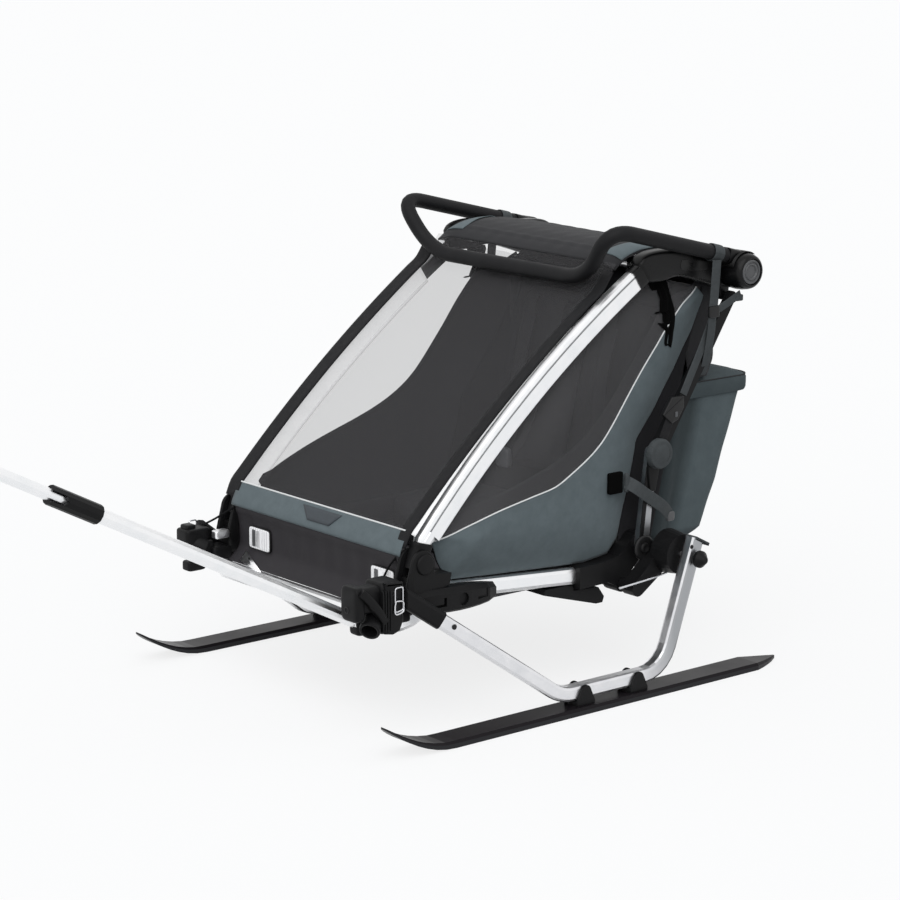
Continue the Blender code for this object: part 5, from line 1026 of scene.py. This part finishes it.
# Gusset: a thin aluminium triangle that ties the crossbar to the right corner casting.
gusset = np.array([[(-0.2077, 0.2320, 0.2294), (-0.1180, 0.2060, 0.2040)],
                   [(-0.2074, 0.2160, 0.2122), (-0.1630, 0.2110, 0.2080)]])
piece_from_grid("corner_gusset", gusset[::-1], aluminium, "carriage", thick=0.0012)
solid("gusset_hole", slab((-0.1868, 0.2195, 0.2176), (-0.1824, 0.2235, 0.2220), 1.0, 12, 24), strap_dark,
      "carriage")

# Elastic cords: round black shock cord hooked from the cover's foot corners to the frame.
elastic = surface("black_shock_cord", "#141415", 0.8, ("#101011", "#18181a"), (0.7, 0.9), 0.006,
                  threads=(0.0015, 0.0003, 0.5), reflects=0.1)
for word, points in (("left", mm((245, 230, 306), (231, 228, 290), (215, 229, 269), (200, 231, 250))),
                     ("right", mm((-245, 232, 306), (-260, 220, 294), (-275, 209, 282), (-290, 200, 272)))):
    route = through(points, 24)
    tube = solid(f"elastic_cord_{word}", carried(route, ring(0.0020, 12), (0, 1, 0)), elastic, "carriage")

# Hood ties: slack black cloth gathered under each hub moulding, in creases that run to the window's edge.
v = np.array([0.0, 0.10, 0.20, 0.32, 0.42, 0.47, 0.53, 0.60, 0.66, 0.72, 0.78, 0.88, 1.0])
left = np.array([0.800, 0.815, 0.829, 0.834, 0.826, 0.811, 0.833, 0.832, 0.816, 0.838, 0.840, 0.836, 0.850])
right = np.array([0.856, 0.857, 0.858, 0.860, 0.862, 0.863, 0.863, 0.862, 0.862, 0.861, 0.860, 0.860, 0.858])
rows = np.linspace(0, 1, 61)
near = np.interp(rows, v, left)
far = np.interp(rows, v, right)
columns = np.linspace(0, 1, 25)
y = near[:, None] * (1 - columns) + far[:, None] * columns
waves = 0.006 * (1 - columns)[None] * np.sin(40 * rows)[:, None]
z = np.broadcast_to((0.7420 - 0.132 * rows)[:, None], y.shape) + waves
for word, side in SIDES:
    folds = bowed(np.stack([y, z], 2), side)
    pleats = 0.0026 * np.sin(columns[None] * 11 + rows[:, None] * 7)
    pleats = 0.0030 + pleats * np.sin(pi * np.clip(columns * 1.2, 0, 1))[None]
    folds[..., 0] += side * pleats
    tie = piece_from_grid(f"hood_tie_{word}", facing(folds, side), crease_cloth, "carriage", thick=0.0008)
    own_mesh(tie)

# Receivers: rounded nylon clamps on the frame's front corners. The left one has the tow arm's clamp:
# a front lobe with a bolt, a slanted bridge over an open socket, ribs and a rounded rear block.
def soft_box(low, high, power=0.3, rows=20, columns=56):
    """A box with well rounded edges from two corners in millimetres, its poles across the trailer."""
    low, high = mm(low, high)
    grid = slab((low[1], low[2], low[0]), (high[1], high[2], high[0]), power, rows, columns)
    return grid[..., [2, 0, 1]]


def tube_end(centre, axis, radius, bore, length):
    """An open tube end: out along its wall, over the rim and back down the bore."""
    axis = np.array(axis) / np.linalg.norm(axis)
    side_way = np.cross(axis, (0, 0, 1.0))
    side_way /= np.linalg.norm(side_way)
    up_way = np.cross(side_way, axis)
    a = np.linspace(0, 2 * pi, 40, endpoint=False)
    profile = np.array([(0, radius * 0.9), (0.1, radius), (0.88, radius), (0.97, radius * 0.97),
                        (1.0, (radius + bore) / 2), (0.97, bore * 1.03), (0.9, bore), (0.25, bore * 0.95),
                        (0.24, 0.0008)])
    spokes = np.cos(a)[:, None] * side_way + np.sin(a)[:, None] * up_way
    return np.array(centre) + profile[:, None, :1] * length * axis + profile[:, None, 1:] * spokes[None]


bridge = through(mm((302, 108, 276), (306, 124, 260), (308, 140, 240), (306, 156, 218)), 24)
clamp = [soft_box((257.5, 98.5, 221.5), (304.5, 119, 283.5), 0.35),
         soft_box((264, 110, 233), (303, 164, 280.5), 0.45),
         soft_box((256, 150, 193), (308, 196, 286), 0.25),
         soft_box((249, 188, 201), (289, 230, 233), 0.2),
         soft_box((229, 138, 181), (256, 196, 227), 0.3),
         plate(mm((156, 286), (196, 283), (196.2, 213), (188, 196), (174, 191.5), (156, 195)),
               0.3000, 0.3120, 0.0050, 1),
         carried(bridge, soft_square * [0.0075, 0.0090], (1, 0, 0)),
         tube_end((0.2860, 0.1500, 0.2180), (0.50, -0.72, -0.48), 0.0190, 0.0135, 0.0300)]
clamp += [soft_box((306, y, 200), (315, y + 3.5, 274), 0.4, 12, 24) for y in (148, 153.5, 159, 164.5)]
body_left = solid("receiver_clamp_left", clamp, nylon, "carriage")
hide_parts("receiver_left")
bolts = [tube_end((0.2770, 0.1010, 0.2420), (0, -1, 0), 0.0062, 0.0042, 0.0034),
         tube_end((0.3105, 0.1700, 0.2670), (1, 0, 0), 0.0050, 0.0034, 0.0026)]
solid("receiver_bolts_left", bolts, strap_dark, "carriage")
# The right receiver is folded away: a short open tube, a flat arm over it and a lower jaw.
away = [soft_box((-311, 142, 240), (-270, 196, 269), 0.3),
        soft_box((-305, 148, 262), (-280, 170, 276), 0.4),
        tube_end((-0.2890, 0.1620, 0.2430), (0.55, 0.62, -0.42), 0.0175, 0.0130, 0.0330),
        soft_box((-304, 150, 186), (-278, 190, 206), 0.35),
        soft_box((-288, 172, 196), (-260, 198, 245), 0.3),
        soft_box((-289, 188, 201), (-249, 230, 233), 0.2)]
body_right = solid("receiver_clamp_right", away, nylon, "carriage")
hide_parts("receiver_right")
clip = soft_box((-260, 188, 250), (-242, 220, 266), 0.3, 12, 32)
solid("receiver_clip_right", clip, aluminium, "carriage")

# Corner castings: rounded nylon knuckles over the machined clevis, with a hooked rim behind the pivot.
knuckle = capsule((0.2560, 0.2990), (0.2480, 0.2560), 0.0245, 0.0280)
for word, side in SIDES:
    cheek = plate(knuckle, 0.2826, 0.2900, 0.0028, side)
    inner_cheek = plate(knuckle, 0.2480, 0.2554, 0.0028, side)
    saddle = soft_box((248, 222, 218), (289, 312, 262), 0.25) * [side, 1, 1]
    grids = [cheek, inner_cheek, facing(saddle, side)]
    solid(f"corner_knuckle_{word}", grids, nylon, "carriage")
    if side > 0:
        # Tie ring: a plated wire D ring on the left receiver's flank, under the bail.
        loop = through(mm((315, 176, 252), (316.5, 190, 250), (316.5, 191.5, 240), (316.5, 190, 232),
                          (316.5, 175, 229), (315, 173.5, 240), (315, 176, 252)), 40)
        piece_from_grid("tie_ring_left", carried(loop, ring(0.0014, 10), (1, 0, 0)), wire, "carriage",
                        around=True)
